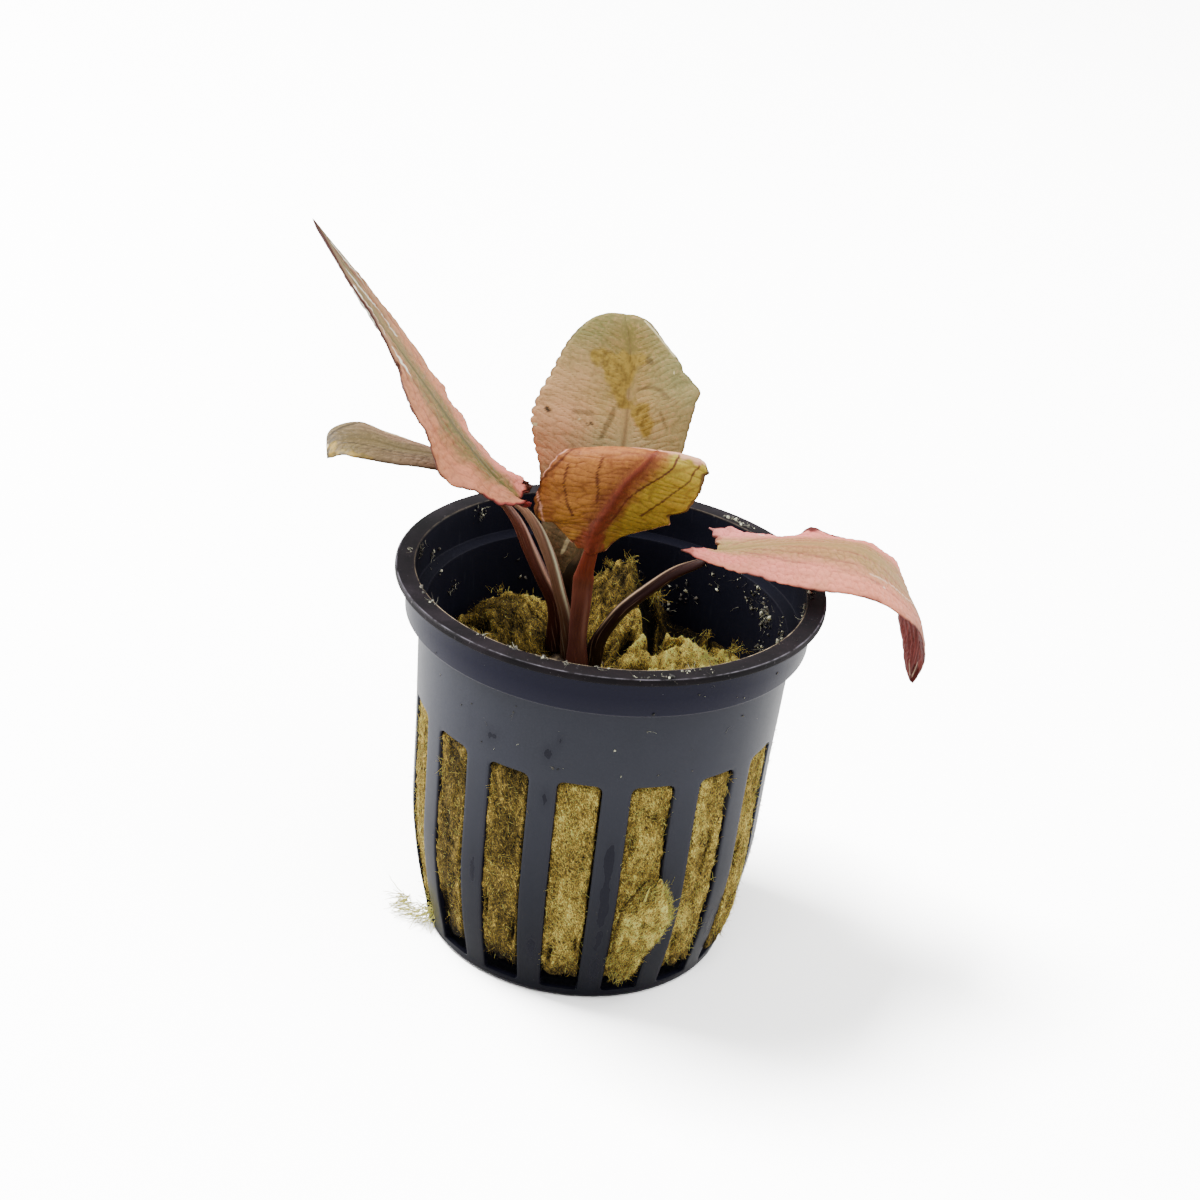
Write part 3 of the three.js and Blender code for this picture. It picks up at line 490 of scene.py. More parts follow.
def noise(points, size, seed=0):
    """Smooth noise from -1 to 1 whose lumps are about size across."""
    p = np.asarray(points, float) / size + 91.7 * seed
    cell = np.floor(p).astype(np.int64)
    t = p - cell
    t = t * t * t * (t * (6 * t - 15) + 10)
    total = 0
    for corner in np.ndindex(2, 2, 2):
        value = cell_number(*(cell[..., k] + corner[k] for k in range(3)))
        weight = np.prod([t[..., k] if corner[k] else 1 - t[..., k] for k in range(3)], axis=0)
        total = total + value * weight
    return total


def fractal(points, size, octaves=4, seed=0):
    """Noise at a size and at its halves."""
    return sum(noise(points, size / 2 ** k, seed + k) / 2 ** k for k in range(octaves))


def cells(u, v, seed):
    """Irregular cells one unit across: how far a place is from its cell's border, and that cell's number."""
    column, row = np.floor(u).astype(np.int64), np.floor(v).astype(np.int64)
    first, second, own = np.full(u.shape, 9.0), np.full(u.shape, 9.0), np.zeros(u.shape)
    for i, j in np.ndindex(3, 3):
        x, y = column + i - 1, row + j - 1
        here, there = cell_number(x, y, seed), cell_number(x, y, seed + 50)
        far = np.hypot(x + 0.5 + 0.4 * here - u, y + 0.5 + 0.4 * there - v)
        nearer = far < first
        second = np.where(nearer, first, np.minimum(second, far))
        own = np.where(nearer, here, own)
        first = np.where(nearer, far, first)
    return second - first, own


def spots(marks, degrees, z):
    """Sum of soft spots: angle, height, spread in degrees and in height, then maybe lean and strength."""
    total = 0
    for angle, level, turn, tall, *more in marks:
        lean, strength = more or (0, 1)
        off, rise = degrees - angle - lean * (z - level), z - level
        total = total + strength * np.exp(-((off / turn) ** 2 + (rise / tall) ** 2))
    return total


def line_gap(x, y, line):
    """How far places are from a line of points."""
    gaps = []
    for (ax, ay), (bx, by) in zip(line, line[1:]):
        reach = max((bx - ax) ** 2 + (by - ay) ** 2, 1e-6)
        t = np.clip(((x - ax) * (bx - ax) + (y - ay) * (by - ay)) / reach, 0, 1)
        gaps.append(np.hypot(x - ax - t * (bx - ax), y - ay - t * (by - ay)))
    return np.min(gaps, axis=0)


def run_of(line):
    """How far each point of a line is from its first, along the line."""
    return np.append(0, np.cumsum(np.linalg.norm(np.diff(line, axis=0), axis=1)))


def rail(points, count):
    """Points evenly spaced along the uniform Catmull-Rom curve through the given points."""
    p = np.array(points, float)
    p = np.vstack([2 * p[0] - p[1], p, 2 * p[-1] - p[-2]])
    fine = []
    for k in range(1, len(p) - 2):
        t = np.linspace(0, 1, 60, endpoint=k == len(p) - 3)[:, None]
        a, b = (p[k + 1] - p[k - 1]) / 2, (p[k + 2] - p[k]) / 2
        d = p[k + 1] - p[k]
        fine.append(p[k] + a * t + (3 * d - 2 * a - b) * t ** 2 + (a + b - 2 * d) * t ** 3)
    fine = np.vstack(fine)
    far = run_of(fine)
    at = np.linspace(0, far[-1], count)
    return joined(*(np.interp(at, far, fine[:, k]) for k in range(3)))


def rounded(corners, steps=4):
    """A line of points through corners of radius and height, each with its own rounding, in order."""
    line = []
    for k, (r, z, rounding) in enumerate(corners):
        p = np.array([r, z], float)
        if rounding == 0:
            line.append(p)
            continue
        before = unit(np.array(corners[k - 1][:2], float) - p)
        after = unit(np.array(corners[k + 1][:2], float) - p)
        for t in np.linspace(0, 1, steps + 1):
            line.append(p + rounding * (before * (1 - t) ** 2 + after * t ** 2))
    return np.array(line)


# Pieces


def grid_faces(rows, columns):
    """Four-sided faces of rings of points, ring by ring."""
    i, j = np.meshgrid(np.arange(rows - 1), np.arange(columns), indexing="ij")
    a = i * columns + j
    b = i * columns + (j + 1) % columns
    return np.stack([a, b, b + columns, a + columns], -1).reshape(-1, 4)


def link(name, data):
    """A new object in the scene."""
    made = bpy.data.objects.new(name, data)
    bpy.context.scene.collection.objects.link(made)
    return made


def add_values(mesh, values):
    """Gives the points of a mesh their named values, which its material reads."""
    for key, value in values.items():
        layer = mesh.attributes.new(key, "FLOAT", "POINT")
        layer.data.foreach_set("value", value.astype(np.float32))


def make_piece(name, points, faces, material, values):
    """A mesh piece from points in millimetres and four-sided faces."""
    mesh = bpy.data.meshes.new(name)
    faces = np.asarray(faces, np.int32)
    mesh.vertices.add(len(points))
    mesh.vertices.foreach_set("co", (points * MM).astype(np.float32).ravel())
    mesh.loops.add(faces.size)
    mesh.loops.foreach_set("vertex_index", faces.ravel())
    mesh.polygons.add(len(faces))
    mesh.polygons.foreach_set("loop_start", np.arange(0, faces.size, 4, dtype=np.int32))
    mesh.polygons.foreach_set("use_smooth", np.ones(len(faces), bool))
    mesh.update(calc_edges=True)
    mesh.validate()
    add_values(mesh, values)
    mesh.materials.append(material)
    return link(name, mesh)


class Parts:
    """Gathers points, faces and tones of many small forms into one mesh. A tone runs from 0 to 1."""

    def __init__(self):
        self.points, self.faces, self.tones, self.count = [], [], [], 0

    def add(self, points, faces, tone=None):
        points = np.asarray(points, float).reshape(-1, 3)
        self.points.append(points)
        self.faces.append(faces + self.count)
        self.count += len(points)
        if tone is not None:
            self.tones.append(np.clip(np.broadcast_to(np.ravel(tone), len(points)), 0, 1))

    def rings(self, rings, tone=None):
        """Adds rings of points, each joined to the next."""
        self.add(rings, grid_faces(len(rings), len(rings[0])), tone)

    def piece(self, name, material):
        values = {"tone": np.concatenate(self.tones)} if self.tones else {}
        return make_piece(name, np.vstack(self.points), np.vstack(self.faces), material, values)


def finish_piece(piece, slot, *nodes):
    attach(piece, BODY)
    if nodes:
        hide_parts(*nodes)
    return piece


def weld(piece):
    """Joins points that lie on each other, and turns the faces outwards."""
    mesh = bmesh.new()
    mesh.from_mesh(piece.data)
    bmesh.ops.remove_doubles(mesh, verts=mesh.verts, dist=WELD * MM)
    bmesh.ops.recalc_face_normals(mesh, faces=mesh.faces)
    mesh.to_mesh(piece.data)
    mesh.free()
    return piece


# Materials


class Shader:
    """A material's node tree, with short names for the nodes used here."""

    def __init__(self, name):
        self.material = bpy.data.materials.new(name)
        self.material.use_nodes = True
        self.tree = self.material.node_tree
        self.surface = self.tree.nodes["Principled BSDF"]
        self.place = self.node("ShaderNodeTexCoord").outputs["Object"]

    def node(self, kind, inputs=None, **settings):
        made = self.tree.nodes.new(kind)
        for key, value in settings.items():
            setattr(made, key, value)
        for key, value in (inputs or {}).items():
            self.put(made.inputs[key], value)
        return made

    def put(self, socket, value):
        if isinstance(value, bpy.types.NodeSocket):
            self.tree.links.new(value, socket)
        else:
            socket.default_value = value

    def noise(self, size, detail=4, stretch=(1, 1, 1), roughness=0.55, place=None, twist=0.0):
        """Noise from 0 to 1, its lumps about size millimetres across, in the piece's space or at a place."""
        step = MM if place is None else 1
        scale = [1 / (size * step * s) for s in stretch]
        mapped = self.node("ShaderNodeMapping", {"Vector": place or self.place, "Scale": scale})
        inputs = {"Vector": mapped.outputs[0], "Scale": 1.0, "Detail": detail, "Roughness": roughness,
                  "Distortion": twist}
        return self.node("ShaderNodeTexNoise", inputs).outputs[0]

    def value(self, name):
        return self.node("ShaderNodeAttribute", attribute_name=name).outputs["Fac"]

    def axes(self):
        """The place in the piece's space, as x, y and z."""
        return self.node("ShaderNodeSeparateXYZ", {0: self.place}).outputs

    def grain(self, detail, stretch):
        """Noise drawn out along a leaf or a stalk."""
        flow = self.node("ShaderNodeCombineXYZ", {0: self.value("length"), 1: self.value("across")})
        return self.noise(0.3, detail, (stretch, 1, 1), place=flow.outputs[0])

    def mix(self, factor, a, b):
        """A colour mixed from two, each a socket or a hex code."""
        made = self.node("ShaderNodeMix", data_type="RGBA")
        for socket, value in zip((made.inputs[0], made.inputs[6], made.inputs[7]), (factor, a, b)):
            self.put(socket, surface(value) if isinstance(value, str) else value)
        return made.outputs[2]

    def coats(self, colour, *coats):
        """A colour with coats over it. Each is how much it covers, and a socket or a hex code."""
        for cover, coat in coats:
            colour = self.mix(cover, colour, coat)
        return colour

    def math(self, operation, *values):
        made = self.node("ShaderNodeMath", operation=operation)
        for socket, value in zip(made.inputs, values):
            self.put(socket, value)
        return made.outputs[0]

    def plus(self, a, b):
        return self.math("ADD", a, b)

    def less(self, a, b):
        return self.math("SUBTRACT", a, b)

    def times(self, a, b):
        return self.math("MULTIPLY", a, b)

    def span(self, x, low, high, to_low=0.0, to_high=1.0):
        """x carried from one span to another, and held within it."""
        inputs = {0: x, 1: low, 2: high, 3: to_low, 4: to_high}
        return self.node("ShaderNodeMapRange", inputs, clamp=True).outputs[0]

    def ramp(self, factor, stops):
        made = self.node("ShaderNodeValToRGB", {0: factor})
        elements = made.color_ramp.elements
        while len(elements) < len(stops):
            elements.new(0.5)
        for element, (at, code) in zip(elements, stops):
            element.position = at
            element.color = surface(code)
        return made.outputs[0]

    def bump(self, height, distance, strength=1.0, under=None):
        inputs = {"Height": height, "Distance": distance * MM, "Strength": strength}
        if under is not None:
            inputs["Normal"] = under
        return self.node("ShaderNodeBump", inputs).outputs[0]

    def finish(self, colour, roughness, normal=None, **numbers):
        self.put(self.surface.inputs["Base Color"], colour)
        self.put(self.surface.inputs["Roughness"], roughness)
        if normal is not None:
            self.put(self.surface.inputs["Normal"], normal)
        for key, value in numbers.items():
            self.surface.inputs[key.replace("_", " ")].default_value = value
        return self.material


def plastic_material():
    """Satin charcoal plastic of the pot's outside: navy painted shade lower down, damp marks, a painted
    highlight at the collar's foot.
    """
    s = Shader("pot_plastic")
    height, wet = s.axes()[2], s.value("damp")
    damp = s.math("GREATER_THAN", s.times(s.noise(1.6, 5, (1, 1, 1.8)), wet), 0.36)
    colour = s.coats(
        s.mix(s.noise(14, 3), "484a54", "565866"),
        # Painted shade: the wall turns dark navy towards its foot
        (s.span(height, 0, 34 * MM, 1.0, 0.0), "02031a"),
        (s.span(height, 45.2 * MM, 45.8 * MM), "1c1c3a"),
        (s.times(wet, 0.4), "262736"),
        (s.times(damp, 0.7), "18192e"),
        (s.span(s.noise(0.45, 2), 0.76, 0.82, 0.0, 0.6), "7c7c84"),
        # Painted highlight: a bright band along the collar's foot edge
        (s.times(s.value("edge"), 0.75), "76747c"))
    normal = s.bump(s.noise(0.35, 2, (1, 1, 14)), 0.02, 0.3, s.bump(s.noise(0.45, 3), 0.015, 0.5))
    dry = s.mix(s.noise(3, 4), (0.4, 0.4, 0.4, 1), (0.52, 0.52, 0.52, 1))
    rough = s.mix(damp, dry, (0.25, 0.25, 0.25, 1))
    return s.finish(colour, rough, normal, Specular_IOR_Level=0.06, Coat_Weight=1.0, Coat_IOR=1.22,
                    Coat_Roughness=0.26)


def flange_material():
    """Matte plastic of the flange, with a purple brown cast and thin painted highlights along its two edges.
    """
    s = Shader("pot_flange")
    x, y, _ = s.axes()
    radius = s.math("SQRT", s.plus(s.times(x, x), s.times(y, y)))
    worn = s.noise(1.5, 4)
    colour = s.ramp(s.noise(5, 4), ((0.35, "141016"), (0.5, "1f181e"), (0.65, "2e262d")))
    colour = s.mix(s.span(s.noise(0.5, 3), 0.66, 0.76, 0.0, 0.6), colour, "8c868a")
    at_front = s.span(y, -4 * MM, -16 * MM, 0.1, 0.9)
    # Painted highlights: thin bright bands on the outer edge and on the inner edge, stronger at the front
    painted_highlights = ((FLANGE_RADIUS - 0.2, 0.55, "a4a0a8"), (OPENING_RADIUS + 0.12, at_front, "d0c8b8"))
    for edge, strength, highlight_colour in painted_highlights:
        gap = s.math("ABSOLUTE", s.less(radius, edge * MM))
        line = s.times(s.span(gap, 0.04 * MM, 0.11 * MM, strength, 0.0), s.span(worn, 0.35, 0.6))
        colour = s.mix(line, colour, highlight_colour)
    return s.finish(colour, 0.5, s.bump(s.noise(0.5, 3), 0.03, 0.5), Specular_IOR_Level=0.12)


def shaded_inside_material():
    """Plastic of the pot's inside, painted nearly black for the shade inside the pot, with faint streaks."""
    s = Shader("pot_inside_shaded")
    streaks = s.noise(0.5, 4, (1, 1, 8))
    colour = s.mix(s.noise(6, 3), "161626", "262638")
    colour = s.mix(s.span(streaks, 0.6, 0.8, 0.0, 0.6), colour, "3c3e4a")
    return s.finish(colour, 0.6, s.bump(streaks, 0.02, 0.4), Specular_IOR_Level=0.08)


def wool_material(name, pale=0.0, lean=0.4, pit_shading=0.55):
    """Fibrous mineral wool, with painted shade in small pits. The value tone runs from dark to pale: the
    wool's own damp and dry tones, with painted shade and light.
    """
    s = Shader(name)
    turned = {"Vector": s.place, "Scale": (1 / MM,) * 3, "Rotation": (0.3, lean, 0)}
    leaning = s.node("ShaderNodeMapping", turned).outputs[0]
    combed = s.noise(0.17, 3, (1, 1, 6), 0.6, leaning, 0.8)
    tangled = s.noise(0.24, 3, (1, 1, 2.4), 0.65, twist=1.8)
    fine = s.noise(0.1, 2, (1, 1, 1.6), 0.6, twist=0.8)
    fibre = s.plus(s.plus(combed, s.times(tangled, 1.1)), s.times(fine, 0.9))
    bright = s.times(s.less(fibre, 1.5), 1.15)
    # Painted shade: small dark pits among the fibres
    pit_shade = s.span(s.noise(0.4, 2, (1, 1, 1.6), twist=1.0), 0.62, 0.72, 0.0, -pit_shading)
    mixed = s.plus(s.plus(s.value("tone"), pit_shade), s.plus(bright, pale))
    colour = s.ramp(mixed, ((0.0, "0c0903"), (0.18, "2c220a"), (0.36, "665424"), (0.52, "93803e"),
                            (0.7, "b8a454"), (0.88, "dacd84"), (1.0, "f0e6a8")))
    normal = s.bump(tangled, 0.35, 1.0, s.bump(fine, 0.1, 0.8))
    return s.finish(colour, 0.85, normal, Specular_IOR_Level=0.15)


def cream_material():
    """Clean pale fibres of the wisp."""
    s = Shader("wool_cream")
    colour = s.ramp(s.noise(0.6, 3), ((0.3, "ecd49c"), (0.7, "f0dcae")))
    return s.finish(colour, 0.8, s.bump(s.noise(0.2, 2), 0.04))


def debris_material():
    s = Shader("debris")
    colour = s.ramp(s.value("tone"), ((0.0, "3c3934"), (0.5, "8c877c"), (1.0, "dcd8ce")))
    return s.finish(colour, 0.7, s.bump(s.noise(0.2, 2), 0.05))


def crown_material():
    s = Shader("crown")
    colour = s.ramp(s.noise(1.1, 4), ((0.3, "2a1410"), (0.5, "5a4632"), (0.68, "b5a684")))
    return s.finish(colour, 0.7, s.bump(s.noise(0.4, 4), 0.2))


def leaf_material(name, look):
    """A blade's two faces. Its veins, cells, margin and marks are values of the mesh."""
    s = Shader(name)
    along, out, gap = s.value("along"), s.value("out"), s.value("gap")
    field, far, band = (s.ramp(along, look[key]) for key in ("field", "far", "band"))
    vein, light, width = look["vein"], look["light"], look["band_width"]
    drift = s.times(s.less(s.noise(3, 3), 0.5), 0.5)
    uneven = s.plus(s.math("ABSOLUTE", out), drift)
    streaks, mottle = s.grain(3, 10), s.noise(0.45, 5)
    under = s.mix(s.span(streaks, 0.35, 0.65), look["under"], look["under_dark"])
    stains = ((0.35, look.get("patch_dark", vein)), (0.6, look.get("patch_colour", vein)))
    colour = s.coats(
        s.mix(s.span(out, -0.2, 0.2), field, far),
        (s.span(uneven, 0.6 * width, 1.3 * width, 1.0, 0.0), band),
        (s.span(s.noise(4, 4), 0.45, 0.7, 0.0, look["cloud"]), band),
        (s.span(streaks, 0.48, 0.75, 0.0, look["streak"]), vein),
        (s.span(mottle, 0.5, 0.75, 0.0, 0.4), vein),
        (s.span(mottle, 0.5, 0.25, 0.0, 0.3), light),
        # Painted light: the raised puckers are a little paler
        (s.times(s.value("bulge"), 0.12), light),
        (s.span(gap, 0.03, 0.2, look["net"], 0.0), vein),
        (s.value("vein"), look.get("vein_dark", vein)),
        (s.times(s.value("midrib"), 0.75), look["rib_colour"]),
        (s.value("underside"), under),
        (s.value("patch"), s.ramp(s.noise(0.7, 4), stains)),
        (s.times(s.value("margin"), 0.8), look["margin"]),
        (s.value("dark"), look["dark_colour"]),
        (s.value("pale"), look["pale_colour"]))
    normal = s.bump(streaks, 0.05, 0.4, s.bump(s.span(gap, 0.0, 0.3), 0.08, 0.6))
    normal = s.bump(s.noise(0.3, 4), 0.07, 0.6, normal)
    rough = s.span(s.noise(1.5, 3), 0.3, 0.7, 0.4, 0.58)
    return s.finish(colour, rough, normal, Specular_IOR_Level=0.22)


def stalk_material(name, look):
    """A stalk, darker towards its foot, partly its own colour and partly painted shade down in the pot, with
    a pale channel along its top.
    """
    s = Shader(name)
    foot, middle, end = look["stalk_colours"]
    rib, channel = look["rib_colour"], look["channel"]
    streaks = s.grain(4, 14)
    colour = s.coats(
        s.ramp(s.value("along"), ((0.0, foot), (0.2, middle), (0.46, end), (0.54, rib), (1.0, rib))),
        (s.span(streaks, 0.52, 0.3, 0.0, 0.45), foot),
        (s.span(streaks, 0.58, 0.75, 0.0, 0.25), channel),
        (s.times(s.value("channel"), 0.85), channel))
    return s.finish(colour, 0.48, s.bump(streaks, 0.08, 0.5), Specular_IOR_Level=0.18)


# Net pot


def body_radius(z):
    """Outer radius of the pot's wall, smoothed a little along its height."""
    spread = np.linspace(-2.5, 2.5, 7)
    return np.mean([np.interp(np.asarray(z, float) + d, BODY_HEIGHTS, BODY_RADII) for d in spread], axis=0)


def slot_samples():
    """Places along the sides of a slot, from 0 to 1, close together near its corners."""
    near = np.array([0, 0.12, 0.3, 0.55, 0.8, 1.0])
    for reach, count in ((2 * math.radians(SLOT_ANGLE / 2) * CELL_RADIUS, 8), (SLOT_TOP - SLOT_FOOT, 34)):
        yield np.concatenate([near, np.linspace(1, reach - 1, count)[1:-1], reach - near[::-1]]) / reach


def box_loop(across, upward):
    """The four sides of a box from the places along its foot and along its height."""
    sides = (joined(across, upward[0]), joined(across[-1], upward), joined(across[::-1], upward[-1]),
             joined(across[0], upward[::-1]))
    return np.vstack([side[:-1] for side in sides])


def round_corners(hole, half):
    """Rounds the four corners of a slot's outline."""
    for level, radius, inward in ((SLOT_TOP, SLOT_CORNER, -1), (SLOT_FOOT, SLOT_FOOT_CORNER, 1)):
        for sign in (-1, 1):
            centre = np.array([sign * (half - radius), level + inward * radius])
            off = hole - centre
            corner = (off[:, 0] * sign > 0) & (off[:, 1] * inward < 0)
            hole[corner] = centre + radius * unit(off[corner])


def holed_cell(boundaries, hole, place):
    """Rings of one cell of the wall with a hole: from its outside round the hole's edge to its inside.

    The boundaries are the cell's outline outside and inside the wall, and hole is the hole's outline, all in
    the wall's own two coordinates. place turns the coordinates and a depth into points.
    """
    turns = np.radians([0, 30, 60, 90])
    course = [(SLOT_EDGE * (1 - math.sin(t)), SLOT_EDGE * (1 - math.cos(t))) for t in turns]
    faces = []
    for boundary in boundaries:
        span = np.linalg.norm(boundary - hole, axis=1)[:, None]
        flat = [(boundary + (hole - boundary) * share * (1 - SLOT_EDGE / span), 0)
                for share in np.linspace(0, 1, CELL_LAYERS)[:-1]]
        faces.append(flat + [(hole + (boundary - hole) * (far / span), deep) for far, deep in course])
    outside, inside = faces
    rings = outside + [(q, WALL - deep) for q, deep in reversed(inside)]
    return np.array([place(q, deep) for q, deep in rings])


def slotted_wall(parts, across, upward):
    """The wall: the same cell round each slot."""
    arc = math.radians(1) * CELL_RADIUS
    hole, *boundaries = (
        box_loop((across * 2 - 1) * half, low + upward * (high - low)) * (arc, 1)
        for half, low, high in ((SLOT_ANGLE / 2, SLOT_FOOT, SLOT_TOP), (PITCH / 2, CELL_FOOT, CELL_TOP),
                                (PITCH / 2, BASE_THICKNESS, CELL_TOP)))
    round_corners(hole, SLOT_ANGLE / 2 * arc)
    for k in range(SLOTS):
        def place(q, depth):
            return around(body_radius(q[:, 1]) - depth, SLOT_PHASE + k * PITCH + q[:, 0] / arc, q[:, 1])

        parts.rings(holed_cell(boundaries, hole, place))


def turned_forms(parts, turn):
    """What is turned round the axis: the pot above its slots, its foot, and the base but for its drains."""
    under = POT_HEIGHT - FLANGE_THICKNESS
    top_of_wall = float(body_radius(CELL_TOP))
    outline = rounded([
        (top_of_wall, CELL_TOP, 0), (SHOULDER_RADIUS, SHOULDER, 0),
        (COLLAR_ROOT_RADIUS, COLLAR_FOOT - 0.15, 0.12), (COLLAR_FOOT_RADIUS, COLLAR_FOOT, 0.22),
        (COLLAR_TOP_RADIUS, under, 0.3), (FLANGE_RADIUS, under, 0.25), (FLANGE_RADIUS, POT_HEIGHT, 0.3),
        (OPENING_RADIUS, POT_HEIGHT, 0.25),
        (OPENING_RADIUS - 0.1, COLLAR_FOOT + WALL, 0.15), (BODY_RADII[-1] - WALL, COLLAR_FOOT + 0.6, 0.15),
        (SHOULDER_RADIUS - WALL, SHOULDER, 0), (top_of_wall - WALL, CELL_TOP, 0)])
    outer, inner = DRAIN_CIRCLE + DRAIN_BAND, DRAIN_CIRCLE - DRAIN_BAND
    foot_of_wall, inside_wall = float(body_radius(CELL_FOOT)), float(body_radius(BASE_THICKNESS)) - WALL
    foot = rounded([(foot_of_wall, CELL_FOOT, 0), (BASE_RADIUS, 0.0, 0.35), (outer, 0.0, 0)])
    inside = ((inside_wall, BASE_THICKNESS), (outer, BASE_THICKNESS))
    flats = [((a, z), (b, z)) for a, b in ((inner, HUB_RADIUS), (HUB_RADIUS, HUB_HOLE))
             for z in (0.0, BASE_THICKNESS)]
    for profile in (outline, foot, inside, *flats):
        profile = np.array(profile)
        fine = [profile[0]]
        for a, b in zip(profile, profile[1:]):
            count = max(1, int(np.linalg.norm(b - a) / PROFILE_STEP))
            fine += [a + (b - a) * t for t in np.linspace(0, 1, count + 1)[1:]]
        parts.rings([around(r, turn, z) for r, z in fine])


def drained_base(parts, turn, pair):
    """The band of the base with the drains: a cell round each hole, as wide as a pair of slots."""
    radial = np.linspace(DRAIN_CIRCLE - DRAIN_BAND, DRAIN_CIRCLE + DRAIN_BAND, 13)
    centre = (0, DRAIN_CIRCLE)
    for k in range(DRAINS):
        angles = np.append(turn, turn[0] + 360)[k * pair:(k + 1) * pair + 1]
        middle = angles.mean()
        degrees, reach = box_loop(angles - middle, radial).T
        flat = joined(reach * np.sin(np.radians(degrees)), reach * np.cos(np.radians(degrees)))
        rim = centre + DRAIN_RADIUS * unit(flat - centre)
        rings = []
        for z, shares in ((0.0, DRAIN_SHARES), (BASE_THICKNESS, DRAIN_SHARES[::-1])):
            for share in shares:
                x, y = (flat + (rim - flat) * share).T
                rings.append(around(np.hypot(x, y), middle + np.degrees(np.arctan2(x, y)), z))
        parts.rings(rings)


def places_of(things, key):
    """x, y and z of a mesh's points or faces, in millimetres."""
    found = np.empty(len(things) * 3, np.float32)
    things.foreach_get(key, found)
    return (found.reshape(-1, 3) / MM).T


def paint_pot(pot):
    """Gives the pot its damp marks, its painted highlight along the collar's foot, and the materials of its
    flange and of its inside, which is painted dark for its shade.
    """
    x, y, z = places_of(pot.data.vertices, "co")
    # edge marks where the painted highlight lies, along the collar's foot edge
    edge = np.exp(-((z - COLLAR_FOOT) / 0.14) ** 2 - ((np.hypot(x, y) - COLLAR_FOOT_RADIUS) / 0.25) ** 2)
    add_values(pot.data, {"damp": spots(DAMP_MARKS, np.degrees(np.arctan2(x, -y)), z), "edge": edge})
    x, y, z = places_of(pot.data.polygons, "center")
    # The inside faces take the material painted dark for shade
    inner = np.where(z > COLLAR_FOOT + 0.3, COLLAR_FOOT_RADIUS - 0.5, body_radius(z) - WALL / 2)
    inside = (np.hypot(x, y) < inner) & (z > 0.9 * BASE_THICKNESS)
    kinds = np.where(z > POT_HEIGHT - FLANGE_THICKNESS - 0.02, 1, np.where(inside, 2, 0))
    pot.data.materials.append(flange_material())
    pot.data.materials.append(shaded_inside_material())
    pot.data.polygons.foreach_set("material_index", kinds.astype(np.int32))


def pot_piece():
    parts = Parts()
    across, upward = slot_samples()
    slotted_wall(parts, across, upward)
    off = (across * 2 - 1)[:-1] * PITCH / 2
    turn = np.concatenate([SLOT_PHASE + k * PITCH + off for k in range(SLOTS)])
    turned_forms(parts, turn)
    drained_base(parts, turn, 2 * len(off))
    pot = weld(parts.piece("pot", plastic_material()))
    paint_pot(pot)
    return finish_piece(pot, "pot_plastic", "net_pot")


# Mineral wool


def plug_top(x, y):
    """Height of the plug's top."""
    lumps = sum(rise * np.exp(-((x - cx) ** 2 + (y - cy) ** 2) / (2 * spread ** 2))
                for cx, cy, rise, spread in LUMPS.values())
    share = np.hypot(x, y) / body_radius(PLUG_LEVEL)
    return PLUG_LEVEL + lumps - EDGE_DROP * share ** 8


def crown_gap(x, y):
    """How far a place on the plug's top is from the rootstock."""
    return np.hypot(x - CROWN_X, y - CROWN_Y) - CROWN_RADIUS


def off_slot(degrees):
    """Degrees from the middle of the nearest slot, and that slot's number."""
    number = np.floor((degrees - SLOT_PHASE) / PITCH + 0.5).astype(int)
    return degrees - SLOT_PHASE - number * PITCH, number % SLOTS


def voids(degrees, z):
    """How open the wool is at the places on its side where it is torn or sunk, from 0 to 1."""
    return np.clip(spots(SIDE_VOIDS, degrees, z), 0, 1)


def swell(degrees, z):
    """How far the wool swells into the slots at an angle and a height."""
    off, number = off_slot(degrees)
    angle, level, rise, turn, spread = RIGHT_FOOT_SWELL
    extra = rise * np.exp(-(((degrees - angle) / turn) ** 2 + ((z - level) / spread) ** 2) / 2)
    wander = 0.35 * noise(joined(degrees, z / 1.5, 0), 2.5, 31)
    right_gap = SLOT_GAP * (1 + cell_number(number, 3, 5)) + np.maximum(0, wander)
    half = SLOT_ANGLE / 2 + 0.15 - np.where(off > 0, right_gap, 0.3 * np.maximum(0, -wander))
    inside = smooth(half, half - 0.35, np.abs(off)) * smooth(SLOT_TOP + 0.2, SLOT_TOP - 0.9, z)
    return (SLOT_SWELL + extra) * inside - VOID_DEPTH * voids(degrees, z) * inside


def wool_side(degrees, z):
    """Points on the plug's side."""
    return around(body_radius(z) - WALL - GAP + swell(degrees, z), degrees, z)


def slot_turns():
    """Angles round the plug, close together where the slots show it."""
    half = SLOT_ANGLE / 2 + 0.4
    across = np.append(np.linspace(-half, half, SLOT_COLUMNS), (half + PITCH / 2) / 2 + np.array((0, 1.6)))
    return np.concatenate([SLOT_PHASE + k * PITCH + across for k in range(SLOTS)])


def crumbs(x, y, size, seed):
    """Crumbly relief from 0 in its cracks to about 1, made of lumps about size across."""
    flat = joined(x, y, seed)
    u, v = x / size + 0.7 * noise(flat, size * 1.3, 3), y / size + 0.7 * noise(flat, size * 1.3, 4)
    gap, own = cells(u, v, seed)
    return np.sqrt(smooth(0, 0.7, gap)) * (0.75 + 0.35 * own)


def top_gaps(x, y):
    """How open the plug's top is along its cracks, from 0 to 1."""
    ragged = 1 + 0.5 * noise(joined(x, y, 0), 1.2, 18)
    opened = [strength * smooth(1.5, 0.6, line_gap(x, y, points) / (half * ragged))
              for half, strength, *points in TOP_GAPS]
    return np.max(opened, axis=0)


